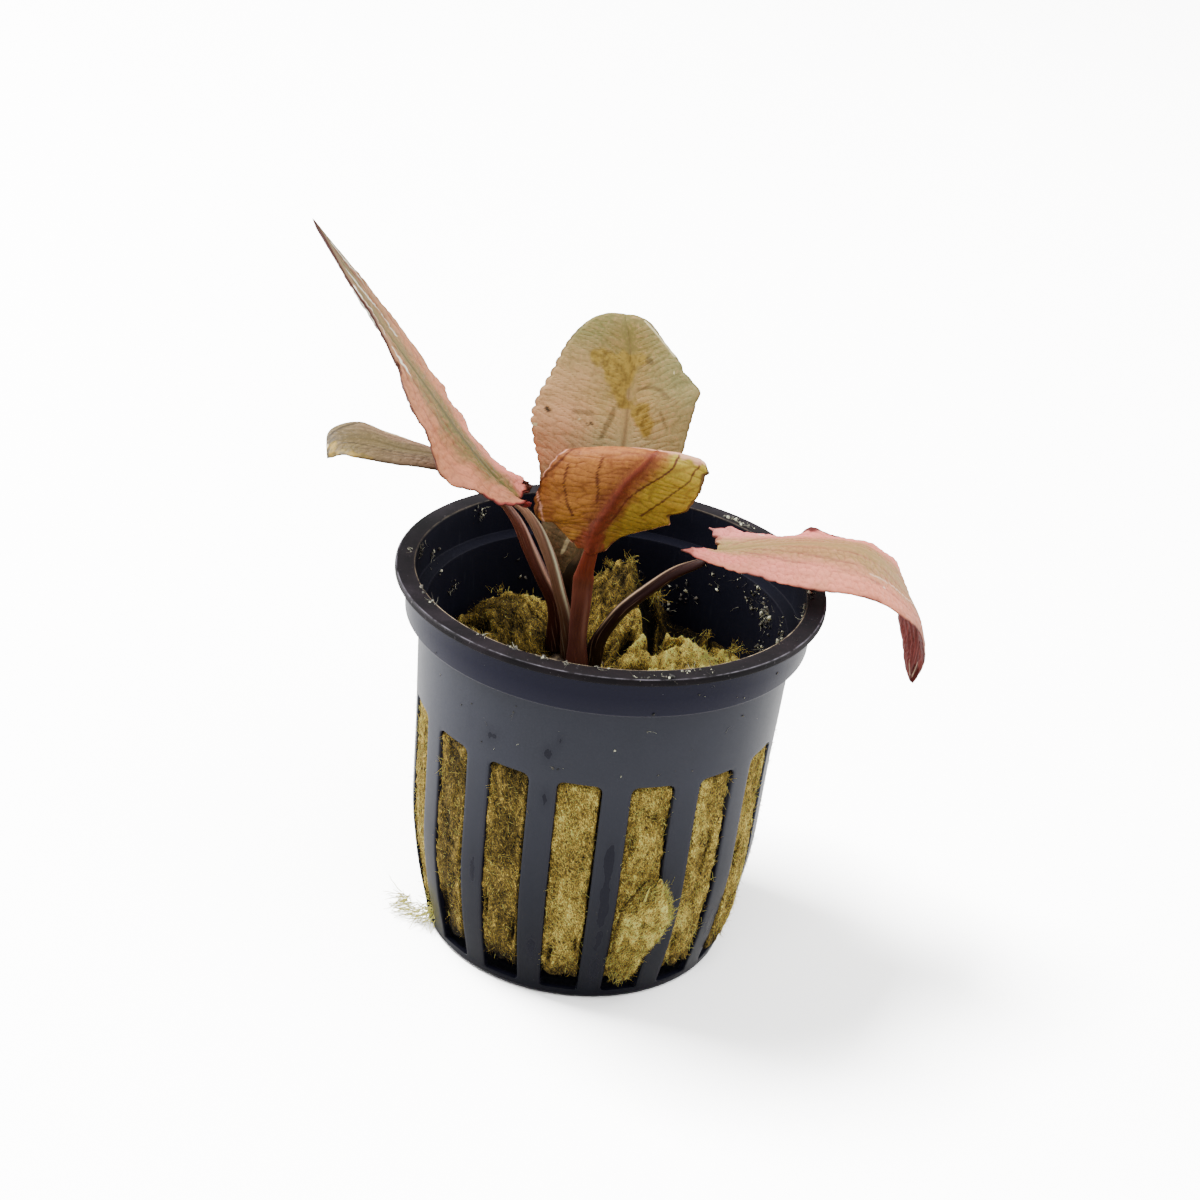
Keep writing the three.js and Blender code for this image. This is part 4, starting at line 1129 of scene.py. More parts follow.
def side_tone_and_shade(points, degrees, z):
    """How pale the wool is on its side, with painted shade in its torn and sunk places and along the slots'
    edges.
    """
    shade = sum(darker * np.exp(-((degrees - angle) / turn) ** 2) for angle, turn, darker in SLOT_SHADES)
    tone = WOOL_TONE + 0.07 * fractal(points, 5, 3, 5) - shade
    # Darker towards the plug's foot, with painted shade in the torn and sunk places
    tone = tone - 0.35 * smooth(PLUG_FOOT + 2.5, PLUG_FOOT, z) - 0.7 * voids(degrees, z)
    off, _ = off_slot(degrees)
    # Painted shade along the slots' edges, deepest by the black gap at the right
    return tone - np.where(off > 0, 0.45, 0.12) * smooth(SLOT_ANGLE / 2 - 0.9, SLOT_ANGLE / 2, np.abs(off))


def top_tone_and_shade(x, y, z):
    """How pale the wool is on its top: yellow on the shelf at the right, darker towards the back, and with
    painted shade in its cracks, at the left and behind at the right.
    """
    # Painted shade: the cracks are dark
    tone = WOOL_TONE + 0.12 * fractal(joined(x, y, z), 4, 3, 5) - 0.9 * top_gaps(x, y)
    tone = tone + 0.22 * smooth(1, 7, x) * smooth(15, 9, y)
    # Painted shade at the left, and darker towards the back
    tone = tone - 0.14 * smooth(-2, -8, x) - 0.18 * smooth(12, 17, y)
    # Painted shade on the strip behind at the right, by the back wall; darker near the wall at the left
    behind = smooth(13, 17, y) * smooth(5, 9, x)
    return tone - 0.45 * behind - 0.1 * smooth(19, 22.5, np.hypot(x, y)) * (x < 4)


def wool_body():
    """The plug: a bottom, a fibrous side that swells into the slots, and a crumbly, cracked top."""
    angles = slot_turns()
    degrees, level = np.meshgrid(angles, np.linspace(PLUG_FOOT, SLOT_TOP - 0.4, SIDE_LEVELS))
    degrees = (degrees + 180) % 360 - 180
    side = wool_side(degrees, level)
    side[..., 2] += 0.8 * noise(side, 1.1, 27) * smooth(PLUG_FOOT + 3, PLUG_FOOT, level)
    drawn_out = side * (1, 1, 0.35)
    grain = 0.2 * fractal(drawn_out, 1.3, 3, 3) + 0.14 * fractal(side, 0.7, 2, 8) - 0.1
    side = side + unit(side * (1, 1, 0)) * (grain * (1 - 0.5 * voids(degrees, level)))[..., None]

    shares = np.linspace(1, 0.01, TOP_RINGS)[:, None] ** 0.8
    top = around((body_radius(PLUG_LEVEL) - WALL - GAP) * shares, angles, 0)
    x, y = top[..., 0], top[..., 1]
    height = plug_top(x, y)
    above_slots = np.maximum(height, SLOT_TOP + 0.8)
    height = height + (above_slots - height) * smooth(0.86, 0.93, shares)
    relief = 1.3 * crumbs(x, y, *COARSE_CRUMBS) + 0.55 * crumbs(x, y, *FINE_CRUMBS)
    relief = relief + 0.35 * fractal(top, 0.9, 2, 12)
    height = height + (relief - 1.0) * smooth(1.0, 0.95, shares) - GAP_DEPTH * top_gaps(x, y)
    top[..., 2] = height - 1.5 * smooth(1.2, 0, crown_gap(x, y))
    top[0, :, 2] = np.maximum(top[0, :, 2] - 1, SLOT_TOP)
    bottom = np.array([around(18 * share, angles, PLUG_FOOT + 0.3) for share in (0.02, 0.5, 0.9)])

    # Painted shade and light: the tone follows the relief, darker in hollows and paler where the wool stands
    # out
    on_side = side_tone_and_shade(side, degrees, level) + 0.5 * grain
    on_top = top_tone_and_shade(x, y, top[..., 2]) + 0.3 * (relief - 1.1)
    tone = np.concatenate([np.full((3, len(angles)), 0.1), on_side, on_top])
    parts = Parts()
    parts.rings(np.concatenate([bottom, side, top]), tone)
    return finish_piece(parts.piece("wool", wool_material("wool")), "mineral_wool", "rockwool_plug")


def strands(parts, starts, headings, normals, length, width, tone, curl, rng, steps=4):
    """Adds curling fibres that start on the wool. Each is a thin three-sided thread."""
    count = len(starts)
    length, width, tone = (np.broadcast_to(value, count) for value in (length, width, tone))
    bend = rng.normal(size=(count, 3)) * curl
    place, heading = starts, unit(headings)
    line = [place]
    for _ in range(steps):
        heading = unit(heading + bend / steps + rng.normal(size=(count, 3)) * 0.12)
        place = place + heading * length[:, None] / steps
        line.append(place)
    line = np.stack(line, 1)
    tangent = unit(np.gradient(line, axis=1))
    side = unit(np.cross(tangent, np.broadcast_to(normals, starts.shape)[:, None] + 1e-3))
    over = np.cross(side, tangent)
    radii = width[:, None, None] * np.linspace(1, 0.4, steps + 1)[None, :, None]
    ring = [side * math.cos(t) + over * math.sin(t) for t in np.radians((0, 120, 240))]
    points = np.stack([line + radii * r for r in ring], 2)
    size = 3 * (steps + 1)
    faces = grid_faces(steps + 1, 3)[None] + (np.arange(count) * size)[:, None, None]
    parts.add(points, faces.reshape(-1, 4), np.repeat(tone, size))


def strand(parts, start, end, normal, size, tone, curl, rng, steps):
    """Adds one strand between two places, each a radius, an angle and a height."""
    start, end = around(*start)[None], around(*end)[None]
    strands(parts, start, end - start, normal, np.linalg.norm(end - start), size, tone, curl, rng, steps)


def side_fibres():
    """Short fibres that lie on the wool in the slots, and loose strands across them."""
    rng = np.random.default_rng(4)
    count = SIDE_FIBRES
    column = (count, 1)
    off = rng.uniform(-0.5, 0.5, count) * SLOT_ANGLE * 0.92
    degrees = (SLOT_PHASE + rng.integers(SLOTS, size=count) * PITCH + off + 180) % 360 - 180
    z = rng.uniform(PLUG_FOOT + 0.2, SLOT_TOP - 0.2, count)
    near_foot = smooth(PLUG_FOOT + 1.6, PLUG_FOOT + 0.8, z)
    starts = wool_side(degrees, z) + around(rng.uniform(-0.1, 0.12, count), degrees, 0)
    out, sideways = around(1, degrees, 0), around(1, degrees + 90, 0)
    headings = UP * (rng.choice((-1, 1), column) * rng.uniform(0.2, 1, column))
    headings = headings + sideways * (rng.normal(size=column) * 0.55)
    headings = headings + out * (rng.normal(size=column) * 0.1)
    headings = headings * (1 - near_foot)[:, None] - UP * near_foot[:, None]
    headings = headings - out * np.maximum(0, np.sum(headings * out, 1))[:, None] * 0.7
    tone = side_tone_and_shade(starts, degrees, z) + rng.normal(size=count) * 0.24 + 0.1
    # Painted shade: fibres in the torn and sunk places are black
    tone[voids(degrees, z) > 0.5] = 0
    length = rng.uniform(0.35, 1.25, count) * (1 - 0.3 * near_foot)
    parts = Parts()
    strands(parts, starts, headings, out, length, rng.uniform(0.018, 0.04, count), tone, 0.6, rng, 2)
    for angle, level, aim, tall, size, pale in LOOSE_STRANDS:
        start = body_radius(level) + 0.1, angle, level
        end = body_radius(level + tall) + 0.35, aim, level + tall
        strand(parts, start, end, out[0], size, pale, 0.35, rng, 7)
    wool = wool_material("wool_fibre", pale=0.04)
    return finish_piece(parts.piece("wool_side_fibres", wool), "mineral_wool")


def top_fibres():
    """Fibres that lie on the plug's top, and the tufts that stand up from it."""
    rng = np.random.default_rng(9)
    starts = around(TOP_FIBRE_REACH * np.sqrt(rng.random(TOP_FIBRES)), rng.uniform(0, 360, TOP_FIBRES), 0)
    x, y, _ = starts.T
    starts = starts[(crown_gap(x, y) > 0) & (top_gaps(x, y) < 0.3)]
    count = len(starts)
    x, y, _ = starts.T
    height = plug_top(x, y) + 1.3 * crumbs(x, y, *COARSE_CRUMBS)
    starts[:, 2] = height + 0.4 * crumbs(x, y, *FINE_CRUMBS) - 1.1
    headings = rng.normal(size=(count, 3)) * (1, 1, 0.4) + UP * 0.1
    tone = top_tone_and_shade(x, y, starts[:, 2]) + rng.normal(size=count) * 0.22 + 0.14
    length = rng.uniform(0.5, 1.6, count)
    parts = Parts()
    strands(parts, starts, headings, UP, length, rng.uniform(0.025, 0.055, count), tone, 2.6, rng, 5)
    for *where, size, bunch in TUFTS:
        start = np.array(where[:3]) + rng.normal(size=(bunch, 3)) * 0.4 * (1, 1, 0.4)
        heading = np.array(where[3:]) + rng.normal(size=(bunch, 3)) * 0.16
        length = rng.uniform(0.15, 1, bunch) * size
        width = rng.uniform(0.025, 0.05, bunch)
        strands(parts, start, heading, UP, length, width, 0.75 + rng.normal(size=bunch) * 0.12, 1.6, rng, 5)
    return finish_piece(parts.piece("wool_top_fibres", bpy.data.materials["wool_fibre"]), "mineral_wool")


def flap_course(z):
    """Left angle, right angle and lift of the flap at a height."""
    heights, *columns = np.array(FLAP_ROWS).T
    return [np.interp(z, heights, column) for column in columns]


def flap_body(parts, z):
    """The flap's closed sheet, with a rough front and torn edges; its tone carries painted light on its
    bumps and right part, and a painted highlight on its right lip.
    """
    share = np.linspace(0, 1, 60)
    z = z[:, None]
    left, right, lift = flap_course(z)
    ragged = 0.5 * fractal(joined(z * 1.6, 0, 0), 1.6, 4, 2)
    angle = left + (right - left + ragged) * share
    height = z + smooth(15, 20.5, z) * 1.0 * fractal(joined(angle, 0, 0), 1.5, 3, 6)
    grown = smooth(0.45, 0.0, share)
    radius = body_radius(height) + (GAP + lift * smooth(0.1, 0.9, share)) * (1 - grown) - 0.75 * grown
    edge = np.minimum(np.minimum(share, 1 - share) * 9, np.minimum(z - z[0], z[-1] - z) / 1.2)
    thick = FLAP_THICKNESS * np.sqrt(np.clip(edge, 0.03, 1))
    middle = radius + FLAP_THICKNESS / 2
    front, back = around(middle + thick / 2, angle, height), around(middle - thick / 2, angle, height)
    slanted = front @ np.array([[1, 0, 0.6], [0, 1, 0], [-0.2, 0, 0.45]])
    rough = 0.3 * fractal(slanted, 1.3, 3, 7) + 0.15 * fractal(front, 0.7, 2, 9)
    front = front + unit(front * (1, 1, 0)) * (rough * smooth(0, 0.3, edge))[..., None]
    # Painted highlight: lip is a bright rim along the right edge. Painted light: lit makes the right and
    # upper part paler, and rough the raised bumps
    lip = smooth(0.9, 0.98, share) * smooth(6, 11, z)
    lit = smooth(0.35, 0.7, share) * smooth(8, 14, z)
    pale = 0.74 + 0.08 * fractal(front, 3, 3, 12) + 0.4 * rough + 0.3 * lip + 0.1 * lit
    pale = pale - 0.35 * smooth(0.08, 0, share) - 0.3 * smooth(7, 4.5, height)
    tone = np.concatenate([pale, np.full(pale.shape, 0.3)], axis=1)
    parts.rings(np.concatenate([front, back[:, ::-1]], axis=1), tone)


def flap():
    """The torn flap: it grows out of the slot's wool at its left and lifts off the pot at its right."""
    rng = np.random.default_rng(2)
    parts = Parts()
    z = np.linspace(FLAP_ROWS[0][0], FLAP_ROWS[-1][0], 90)
    flap_body(parts, z)

    count = FLAP_FIBRES
    h = rng.uniform(z[0] + 0.3, z[-1] - 0.2, count)
    s = rng.uniform(0, 1, count) ** 0.8
    left, right, lift = flap_course(h)
    a = left + (right - left) * s
    sunk = 0.75 * smooth(0.45, 0, s)
    radius = body_radius(h) + GAP + lift * smooth(0.1, 0.9, s) + FLAP_THICKNESS - 0.15 - sunk
    out, sideways = around(1, a, 0), around(1, a + 90, 0)
    headings = sideways * (0.55 + 0.5 * rng.normal(size=(count, 1)))
    headings = headings + UP * (0.7 + 0.4 * rng.normal(size=(count, 1)))
    headings = headings * rng.choice((-1, 1), (count, 1))
    outer = s > 0.86
    headings[outer] = sideways[outer] * 0.3 + UP * 0.9 + rng.normal(size=(outer.sum(), 3)) * 0.25
    # Painted light: the fibres on the flap's right and upper part are paler
    tone = WOOL_TONE + 0.34 * smooth(0.6, 1, s) * smooth(8, 15, h) + rng.normal(size=count) * 0.15
    length, width = rng.uniform(0.4, 1.2, count), rng.uniform(0.02, 0.045, count)
    strands(parts, around(radius, a, h), headings, out, length, width, tone, 0.5, rng, 3)
    for angle, level, aim, tall, size in FLAP_SPIKES:
        radius = body_radius(level) + (GAP + float(flap_course(level)[2]) + FLAP_THICKNESS)
        start, end = (radius - 0.3, angle, level), (radius, aim, level + tall)
        strand(parts, start, end, out[0], size, 0.95, 0.2, rng, 5)
    wool = wool_material("wool_flap", pale=0.03, lean=-0.75, pit_shading=0.35)
    return finish_piece(parts.piece("wool_flap", wool), "mineral_wool")


def wisp():
    """The pale wisp of fibres that lies on the ground at the left."""
    rng = np.random.default_rng(5)
    count = WISP_FIBRES
    share = rng.random(count) ** 1.3
    foot, tip = WISP_ANGLES
    a = foot + (tip - foot) * share ** 2 + rng.normal(size=count) * 2.2
    height = 0.5 + 3 * (1 - share) * rng.random(count) + 0.5 * rng.random(count)
    starts = around(18.5 + (WISP_REACH - 20.5) * share, a, height)
    ends = around(WISP_REACH - 0.2, a + rng.normal(size=count) * 5, 0.35 + 0.5 * rng.random(count))
    parts = Parts()
    length = rng.uniform(1.5, 3.6, count)
    strands(parts, starts, ends - starts, UP, length, 0.07, 0.9 + rng.normal(size=count) * 0.05, 0.5, rng)
    for points in parts.points:
        points[:, 2] = np.maximum(points[:, 2], 0.1)
    return finish_piece(parts.piece("wool_wisp", cream_material()), "mineral_wool")


# Debris on the pot


def inner_radius(z):
    """Inside radius of the pot above the wool."""
    return np.interp(z, INSIDE_HEIGHTS, INSIDE_RADII) - 0.04


def cluster_places(where, angle, level, spread, step):
    """Places of a cluster's crumbs on one of the pot's surfaces, and the direction off that surface."""
    a = angle + np.degrees(step[:, 0] * spread / 24)
    if where == "flange":
        radius = np.clip(level + 0.35 * (step[:, 1] * spread), OPENING_RADIUS + 0.1, FLANGE_RADIUS - 0.25)
        return around(radius, a, POT_HEIGHT + 0.02), UP
    if where == "wall":
        z = np.clip(level + step[:, 1] * spread, 36.5, 51)
        return around(inner_radius(z), a, z), -around(1.0, angle, 0.0)
    z = np.clip(level + step[:, 1] * spread, 36, 50)
    collar = np.interp(z, (COLLAR_FOOT, 50.6), (COLLAR_FOOT_RADIUS, COLLAR_TOP_RADIUS))
    return around(np.where(z > COLLAR_FOOT, collar, body_radius(z)) + 0.02, a, z), around(1.0, angle, 0.0)


def debris():
    """Crumbs, flakes and short fibres of wool that lie in clusters on the flange and inside the pot."""
    rng = np.random.default_rng(12)
    parts = Parts()
    box = np.array([(x, y, z) for x in (-1, 1) for y in (-1, 1) for z in (-1, 1)], float)
    sides = np.array([(0, 1, 3, 2), (4, 6, 7, 5), (0, 4, 5, 1), (2, 3, 7, 6), (0, 2, 6, 4), (1, 5, 7, 3)])
    for where, (clusters, scale, fibrous) in DEBRIS.items():
        for angle, level, spread, count in clusters:
            places, normal = cluster_places(where, angle, level, spread, rng.normal(size=(count, 2)))
            for place in places:
                size = CRUMB * rng.uniform(0.25, 1) ** 2 * scale
                shape = box * rng.uniform(0.15, 1, size=3) * size + rng.normal(size=(8, 3)) * 0.25 * size
                spin = np.linalg.qr(rng.normal(size=(3, 3)))[0]
                parts.add(place + shape @ spin, sides, rng.random() ** 1.5)
            starts = places[rng.random(count) < fibrous]
            if len(starts):
                heading = rng.normal(size=starts.shape)
                heading = heading - normal * (heading @ normal)[:, None] * 0.8
                length, width, tone = (rng.uniform(low, high, len(starts))
                                       for low, high in ((0.3, 1.4), (0.015, 0.035), (0.2, 1)))
                strands(parts, starts, heading, normal, length, width, tone, 1.5, rng)
    return finish_piece(parts.piece("debris", debris_material()), "mineral_wool")


# Rootstock


def crown():
    """The lumpy rootstock, turned from a rounded profile."""
    radius, foot, top = CROWN_RADIUS, CROWN_FOOT, CROWN_TOP
    profile = rounded([(0.01, foot, 0), (radius * 0.7, foot, 0.5), (radius * 0.98, foot + 2, 1),
                       (radius * 0.98, top - 1.5, 0.8), (radius * 0.7, top, 0.8), (0.01, top, 0)], 5)
    share = np.linspace(0, len(profile) - 1, 30)
    line = joined(*(np.interp(share, np.arange(len(profile)), column) for column in profile.T))
    rings = around(line[:, :1], np.arange(60) * 6, line[:, 1:]) + (CROWN_X, CROWN_Y, 0)
    rough = 0.3 * fractal(rings, 1.4, 3, 14)
    rings = rings + unit(rings - (CROWN_X, CROWN_Y, 34)) * rough[..., None]
    rings[..., 2] = np.minimum(rings[..., 2], top + 0.2)
    parts = Parts()
    parts.rings(rings)
    return finish_piece(parts.piece("rootstock", crown_material()), "rootstock", "crown")


# Leaves


def leaf_lines(look, count):
    """A leaf's left edge, rib and right edge, and the directions along its rib and off its face."""
    left, rib, right = (rail(look[key], count) for key in ("left", "rib", "right"))
    tangent = unit(np.gradient(rib, axis=0))
    return left, rib, right, tangent, unit(np.cross(right - left, tangent))


def painted(strokes, run, width, across):
    """How strongly strokes cover each place of a blade whose rows lie at a run along its rib."""
    cover = np.zeros_like(across)
    ragged = 1 + 0.45 * noise(joined(run[:, None], across, 0), 0.9, 60)
    for half, strength, *points in strokes:
        line = [(a * run[-1], o * np.interp(a * run[-1], run, width[:, 0 if o < 0 else -1]))
                for a, o in points]
        gap = line_gap(run[:, None], across, line)
        cover = np.maximum(cover, strength * smooth(1.3, 0.7, gap / (half * ragged)))
    return cover


def scallops(course, pitch, seed):
    """Rounded bumps along a margin with sharp dents between them, about 1 high."""
    flat = joined(course, 0, seed)
    phase = course / pitch + 0.7 * noise(flat, 4, 30)
    return np.abs(np.sin(math.pi * phase)) ** 0.7 * (1 + 0.6 * noise(flat, 2.3, 34)) - 0.6


def margin_spots(marks, run, side):
    """Sum of soft spots along the margins: side, share of the length, half width, amount."""
    total = 0 * side
    for which, place, half, amount in marks:
        total = total + amount * np.exp(-((run - place * run[-1]) / half) ** 2)[:, None] * (side == which)
    return total


def blade(look, seed):
    """Points, faces and values of a blade: a thin closed sheet, puckered between its veins."""
    left, rib, right, *_ = leaf_lines(look, ROUGH_ROWS)
    rough_width = max(np.linalg.norm(edge - rib, axis=1).max() for edge in (left, right))
    rows, half_columns = int(run_of(rib)[-1] / ROW_STEP), int(rough_width / COLUMN_STEP)
    left, rib, right, tangent, up = (line[:, None] for line in leaf_lines(look, rows))
    run = run_of(rib[:, 0])
    along, length = np.linspace(0, 1, rows)[:, None], run[:, None]
    out = np.linspace(-1, 1, 2 * half_columns + 1)
    reach = np.abs(out)
    edge = np.where((out < 0)[None, :, None], left, right)
    width = np.linalg.norm(edge - rib, axis=-1)
    side = np.sign(out) + 0 * width
    far = width * reach
    across = side * far
    course = joined(length, side * 40, seed)

    pitch, *stops = look["scallop"]
    depth = np.where(side < 0, *(np.interp(along, *zip(*margin)) for margin in stops))
    push = depth * scallops(length + 13 * side, pitch, seed) * smooth(1, 0.96, along)
    push = push + margin_spots(look.get("nicks", ()), run, side)
    stretch = 1 + push / np.maximum(width, 1) * smooth(0.55, 1, reach)
    bow = 4 * look["bow"] * reach * (1 - reach) * width
    lobe = look.get("lobe", 0.5) * np.sin(math.pi * reach)
    lobe = lobe + 0.45 * scallops(across + 5, 1.3, seed + 3) * smooth(0.6, 1.6, far)
    back = lobe * smooth(1.6, 0, length) * np.minimum(1, width / 2)
    points = rib + (edge - rib) * (reach * stretch)[..., None]
    points = points + up * bow[..., None] - tangent * back[..., None]

    vein = painted(look.get("vein_strokes", ()), run, width, across)
    for start, reach_out in look["laterals"]:
        rise = 1 - np.exp(-np.maximum(along - start, 0) / 0.16)
        line = reach_out * rise + 0.04 * noise(course + start * 300, 5, 3)
        away = np.abs(reach - line) * width
        faint = 0.75 * smooth(start, start + 0.04, along) * (0.7 + 0.5 * noise(course + start * 90, 3, 4))
        vein = np.maximum(vein, np.exp(-(away / 0.17) ** 2) * faint)
    cell_along, cell_across, slant = look["cell"]
    base = joined(length, across, seed * 7)
    u = (length - slant * far) / cell_along + 0.5 * noise(base, 3, 5)
    gap, own = cells(u, across / cell_across + 0.3 * noise(base, 3, 6), seed)
    pucker = np.sqrt(smooth(0, 0.8, gap)) * (1 + 0.3 * own)
    clear = smooth(0.15, 1.3, far) * smooth(-0.1, 0.7, width - far) * np.minimum(1, width / 3)
    height = look["bump"] * ((pucker - 0.6) * clear - 0.9 * vein * clear)
    height = height + look["bump"] * (1.3 * noise(base, 4.5, 12) + 0.5 * noise(base, 1.9, 13)) * clear
    height = height + margin_spots(look.get("curls", ()), run, side) * smooth(0.6, 1, reach)
    ends = smooth(0, 0.03, along) * smooth(1, 0.93, along)
    wave = look["frill"] * depth / max(0.05, depth.max()) * ends
    height = height + wave * noise(course, 2.3, 40) * smooth(0.66, 1, reach)
    normal = unit(np.cross(np.gradient(points, axis=1), np.gradient(points, axis=0)))
    flip = np.sum(normal * up, -1, keepdims=True)[:, half_columns:half_columns + 1] < 0
    normal = normal * np.where(flip, -1, 1)
    points = points + normal * height[..., None]

    thick = 0.35 + 0.65 * smooth(0, 0.7, width - far)
    half = 0.5 * BLADE_THICKNESS * thick * smooth(-0.02, 0.03, 1 - along)
    rib_radius = np.interp(along, (0, RIB_REACH, 1), (look["radii"][1], RIB_END_RADIUS, 0.15))
    ridge = 0.45 * rib_radius * np.exp(-(far / (0.8 * rib_radius)) ** 2) + 0.12 * vein * clear
    groove = 0.16 * rib_radius * np.exp(-(far / (0.6 * rib_radius)) ** 2)
    above, below = (half + ridge, half - groove)[::look["ridge"]]
    under = (points - normal * below[..., None])[:, ::-1]
    rings = np.concatenate([points + normal * above[..., None], under], axis=1)

    rim = np.minimum(width - far, length + 3 * smooth(1.6, 0.6, far))
    uneven = smooth(0.1, 0.6, 0.5 + 0.5 * noise(course, 2, 50))
    values = {
        "along": along, "out": out, "length": length, "across": across, "gap": gap + 1.2 * (1 - clear),
        "vein": vein * np.maximum(clear, 0.3), "bulge": pucker * clear,
        "margin": np.exp(-(np.maximum(rim, 0) / 0.24) ** 2) * uneven * smooth(0.3, 0.9, width),
        "midrib": np.exp(-(far / (0.6 * rib_radius + 0.1)) ** 2) * smooth(1.0, 0.6, along),
    }
    for mark in MARKS:
        values[mark] = painted(look.get(mark, ()), run, width, across)
    for key, value in values.items():
        value = np.broadcast_to(value, far.shape)
        values[key] = np.concatenate([value, value[:, ::-1]], axis=1).ravel()
    columns = len(out)
    values["underside"] = np.tile(np.repeat((0.0, 1.0), columns), rows)
    faces = [grid_faces(rows, 2 * columns)]
    j = np.arange(columns - 1)
    for first, turn in ((0, -1), ((rows - 1) * 2 * columns, 1)):
        faces.append((first + joined(j, j + 1, 2 * columns - 2 - j, 2 * columns - 1 - j))[:, ::turn])
    return rings, np.vstack(faces), values


def stalk(look):
    """Points, faces and values of a stalk, which runs on under its blade and has a channel on top."""
    points = (*look["stalk"], *look["rib"][:math.ceil(RIB_REACH * len(look["rib"]))])
    line = rail(points, STALK_ROWS)
    share = np.linspace(0, 1, STALK_ROWS)[:, None]
    end = len(look["stalk"]) / len(points)
    low, high = look["radii"]
    on_rib = np.maximum(0, share - end) / (1 - end)
    tapering = high + (RIB_END_RADIUS - high) * on_rib ** 0.5
    radius = np.where(share < end, low + (high - low) * share / end, tapering)
    radius = radius * (1 + 0.35 * smooth(0.12, 0, share))
    *_, up = leaf_lines(look, STALK_ROWS)
    on_blade = up[np.clip(((share[:, 0] - end) * STALK_ROWS).astype(int), 0, STALK_ROWS - 1)]
    join = smooth(0.5 * end, 1.05 * end, share)
    tangent = unit(np.gradient(line, axis=0))
    side = unit(np.cross(tangent, (1 - join) * np.array((0, -1, 0.6)) + join * on_blade))
    over = np.cross(side, tangent)
    flat = look["flatness"] * (1 - join) + 0.42 * join
    sunk = np.maximum(0, flat * radius - 0.1) * smooth(0.85 * end, 1.15 * end, share)
    line = line + over * (look["ridge"] * sunk)
    turn = np.arange(STALK_SIDES) * 2 * math.pi / STALK_SIDES
    off_top = np.abs((turn - math.pi / 2 + math.pi) % (2 * math.pi) - math.pi)
    free = smooth(0.05, 0.3, share) * (1 - join)
    size = radius * (1 - 0.25 * np.exp(-(off_top / 0.42) ** 2) * free)
    wide, tall = size * np.cos(turn), size * np.sin(turn) * flat
    rings = line[:, None] + side[:, None] * wide[..., None] + over[:, None] * tall[..., None]
    at_right = look.get("lip", 1) > 0
    place, spread = (0.6, 0.22) if at_right else (0.9, 0.16)
    beside = turn < math.pi / 2 if at_right else (turn > math.pi / 2) & (turn < math.pi)
    lip = np.exp(-((off_top - place) / spread) ** 2) * beside
    values = {
        "along": np.minimum(share / end, 1) / 2 + np.clip((share - end) / (1 - end), 0, 1) / 2,
        "length": share * 30,
        "across": turn * radius,
        "channel": lip * smooth(0.15, 0.45, share / end) * (1 - join),
    }
    values = {key: np.broadcast_to(value, size.shape).ravel() for key, value in values.items()}
    return rings, grid_faces(STALK_ROWS, STALK_SIDES), values


def leaf(name, seed):
    """One leaf: its blade and its stalk in one mesh, with a material each."""
    look = LEAVES[name]
    rings, faces, values = blade(look, seed)
    tube, tube_faces, tube_values = stalk(look)
    count, extra = rings.size // 3, tube.size // 3
    merged = {key: np.append(value, tube_values.get(key, np.zeros(extra))) for key, value in values.items()}
    merged["channel"] = np.append(np.zeros(count), tube_values["channel"])
    points = np.vstack([rings.reshape(-1, 3), tube.reshape(-1, 3)])
    all_faces = np.vstack([faces, tube_faces + count])
    piece = make_piece(name + "_blade", points, all_faces, leaf_material(name, look), merged)
    piece.data.materials.append(stalk_material(name + "_stalk", look))
    on_stalk = np.arange(len(piece.data.polygons)) >= len(faces)
    piece.data.polygons.foreach_set("material_index", on_stalk.astype(np.int32))
    return finish_piece(piece, name, name)


# Stage


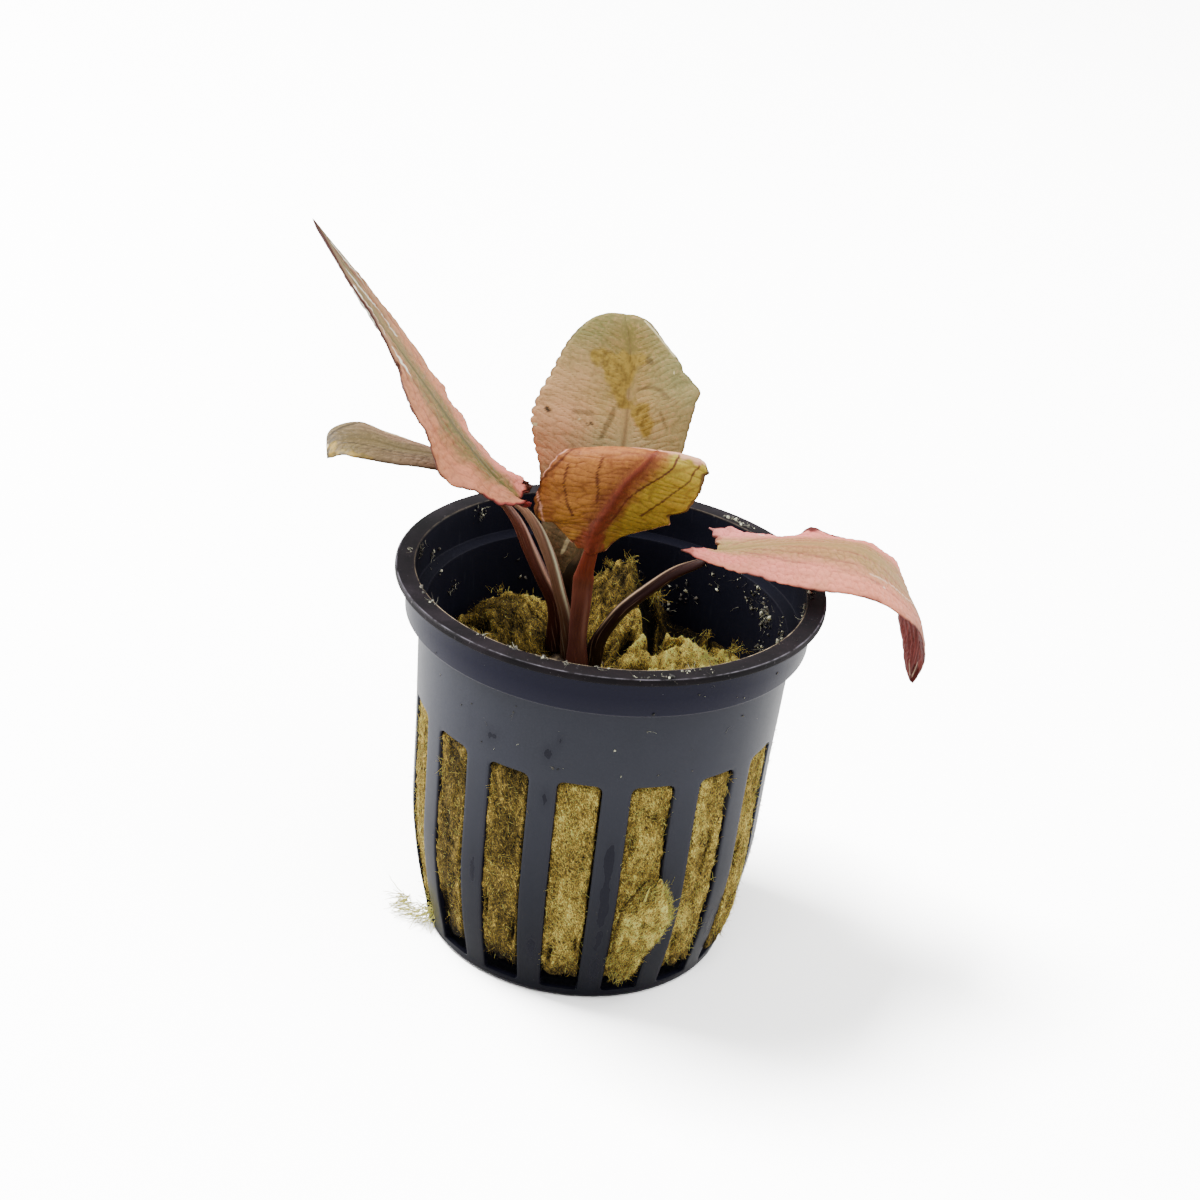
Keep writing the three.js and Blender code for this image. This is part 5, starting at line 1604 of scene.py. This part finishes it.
def camera():
    lens = bpy.data.cameras.new("camera")
    lens.lens = CAMERA_LENS
    lens.sensor_width = CAMERA_SENSOR
    lens.clip_start, lens.clip_end = CAMERA_CLIP
    eye = link("camera", lens)
    ahead, right = Vector(CAMERA_AHEAD).normalized(), Vector(CAMERA_RIGHT).normalized()
    turn = Matrix((right, right.cross(ahead), -ahead)).transposed()
    eye.matrix_world = Matrix.Translation(Vector(CAMERA_PLACE) * MM) @ turn.to_4x4()
    bpy.context.scene.camera = eye


def floor():
    """The pale ground. The camera sees one sheet, and bounced light comes from another just under it."""
    for name, low, white, seen in SHEETS:
        mesh = bpy.data.meshes.new(name)
        corners = [(x * GROUND_HALF, y * GROUND_HALF, low) for x, y in ((-1, -1), (1, -1), (1, 1), (-1, 1))]
        mesh.from_pydata(corners, [], [(0, 1, 2, 3)])
        s = Shader(name)
        tints = [(share * white, share * white, (share - 0.01) * white, 1) for share in (1, 0.97)]
        mesh.materials.append(s.finish(s.mix(s.noise(60, 2), *tints), 0.8))
        piece = link(name, mesh)
        piece.visible_camera = seen
        piece.visible_diffuse = piece.visible_glossy = piece.visible_transmission = not seen
        piece.visible_shadow = False
    return bpy.data.objects[SHEETS[0][0]]


def lights(ground):
    """White surroundings and soft lamps. Some light the seen ground alone."""
    world = bpy.data.worlds.new("white")
    bpy.context.scene.world = world
    world.use_nodes = True
    colour, strength = world.node_tree.nodes["Background"].inputs[:2]
    colour.default_value = (1, 1, 1, 1)
    strength.default_value = WORLD_BRIGHTNESS
    for name, place, size, power, ground_only in LAMPS:
        light = bpy.data.lights.new(name, "AREA")
        light.shape = "RECTANGLE"
        light.size, light.size_y = size
        light.energy = power
        lamp = link(name, light)
        lamp.location = place
        lamp.rotation_euler = (Vector(AIM) - Vector(place)).to_track_quat("-Z", "Y").to_euler()
        if ground_only:
            lit = bpy.data.collections.new(name + "_lit")
            lit.objects.link(ground)
            lamp.light_linking.receiver_collection = lit


camera()
lights(floor())
pot_piece()
wool_body()
side_fibres()
top_fibres()
flap()
wisp()
debris()
crown()
for number, leaf_name in enumerate(LEAVES):
    leaf(leaf_name, number + 1)
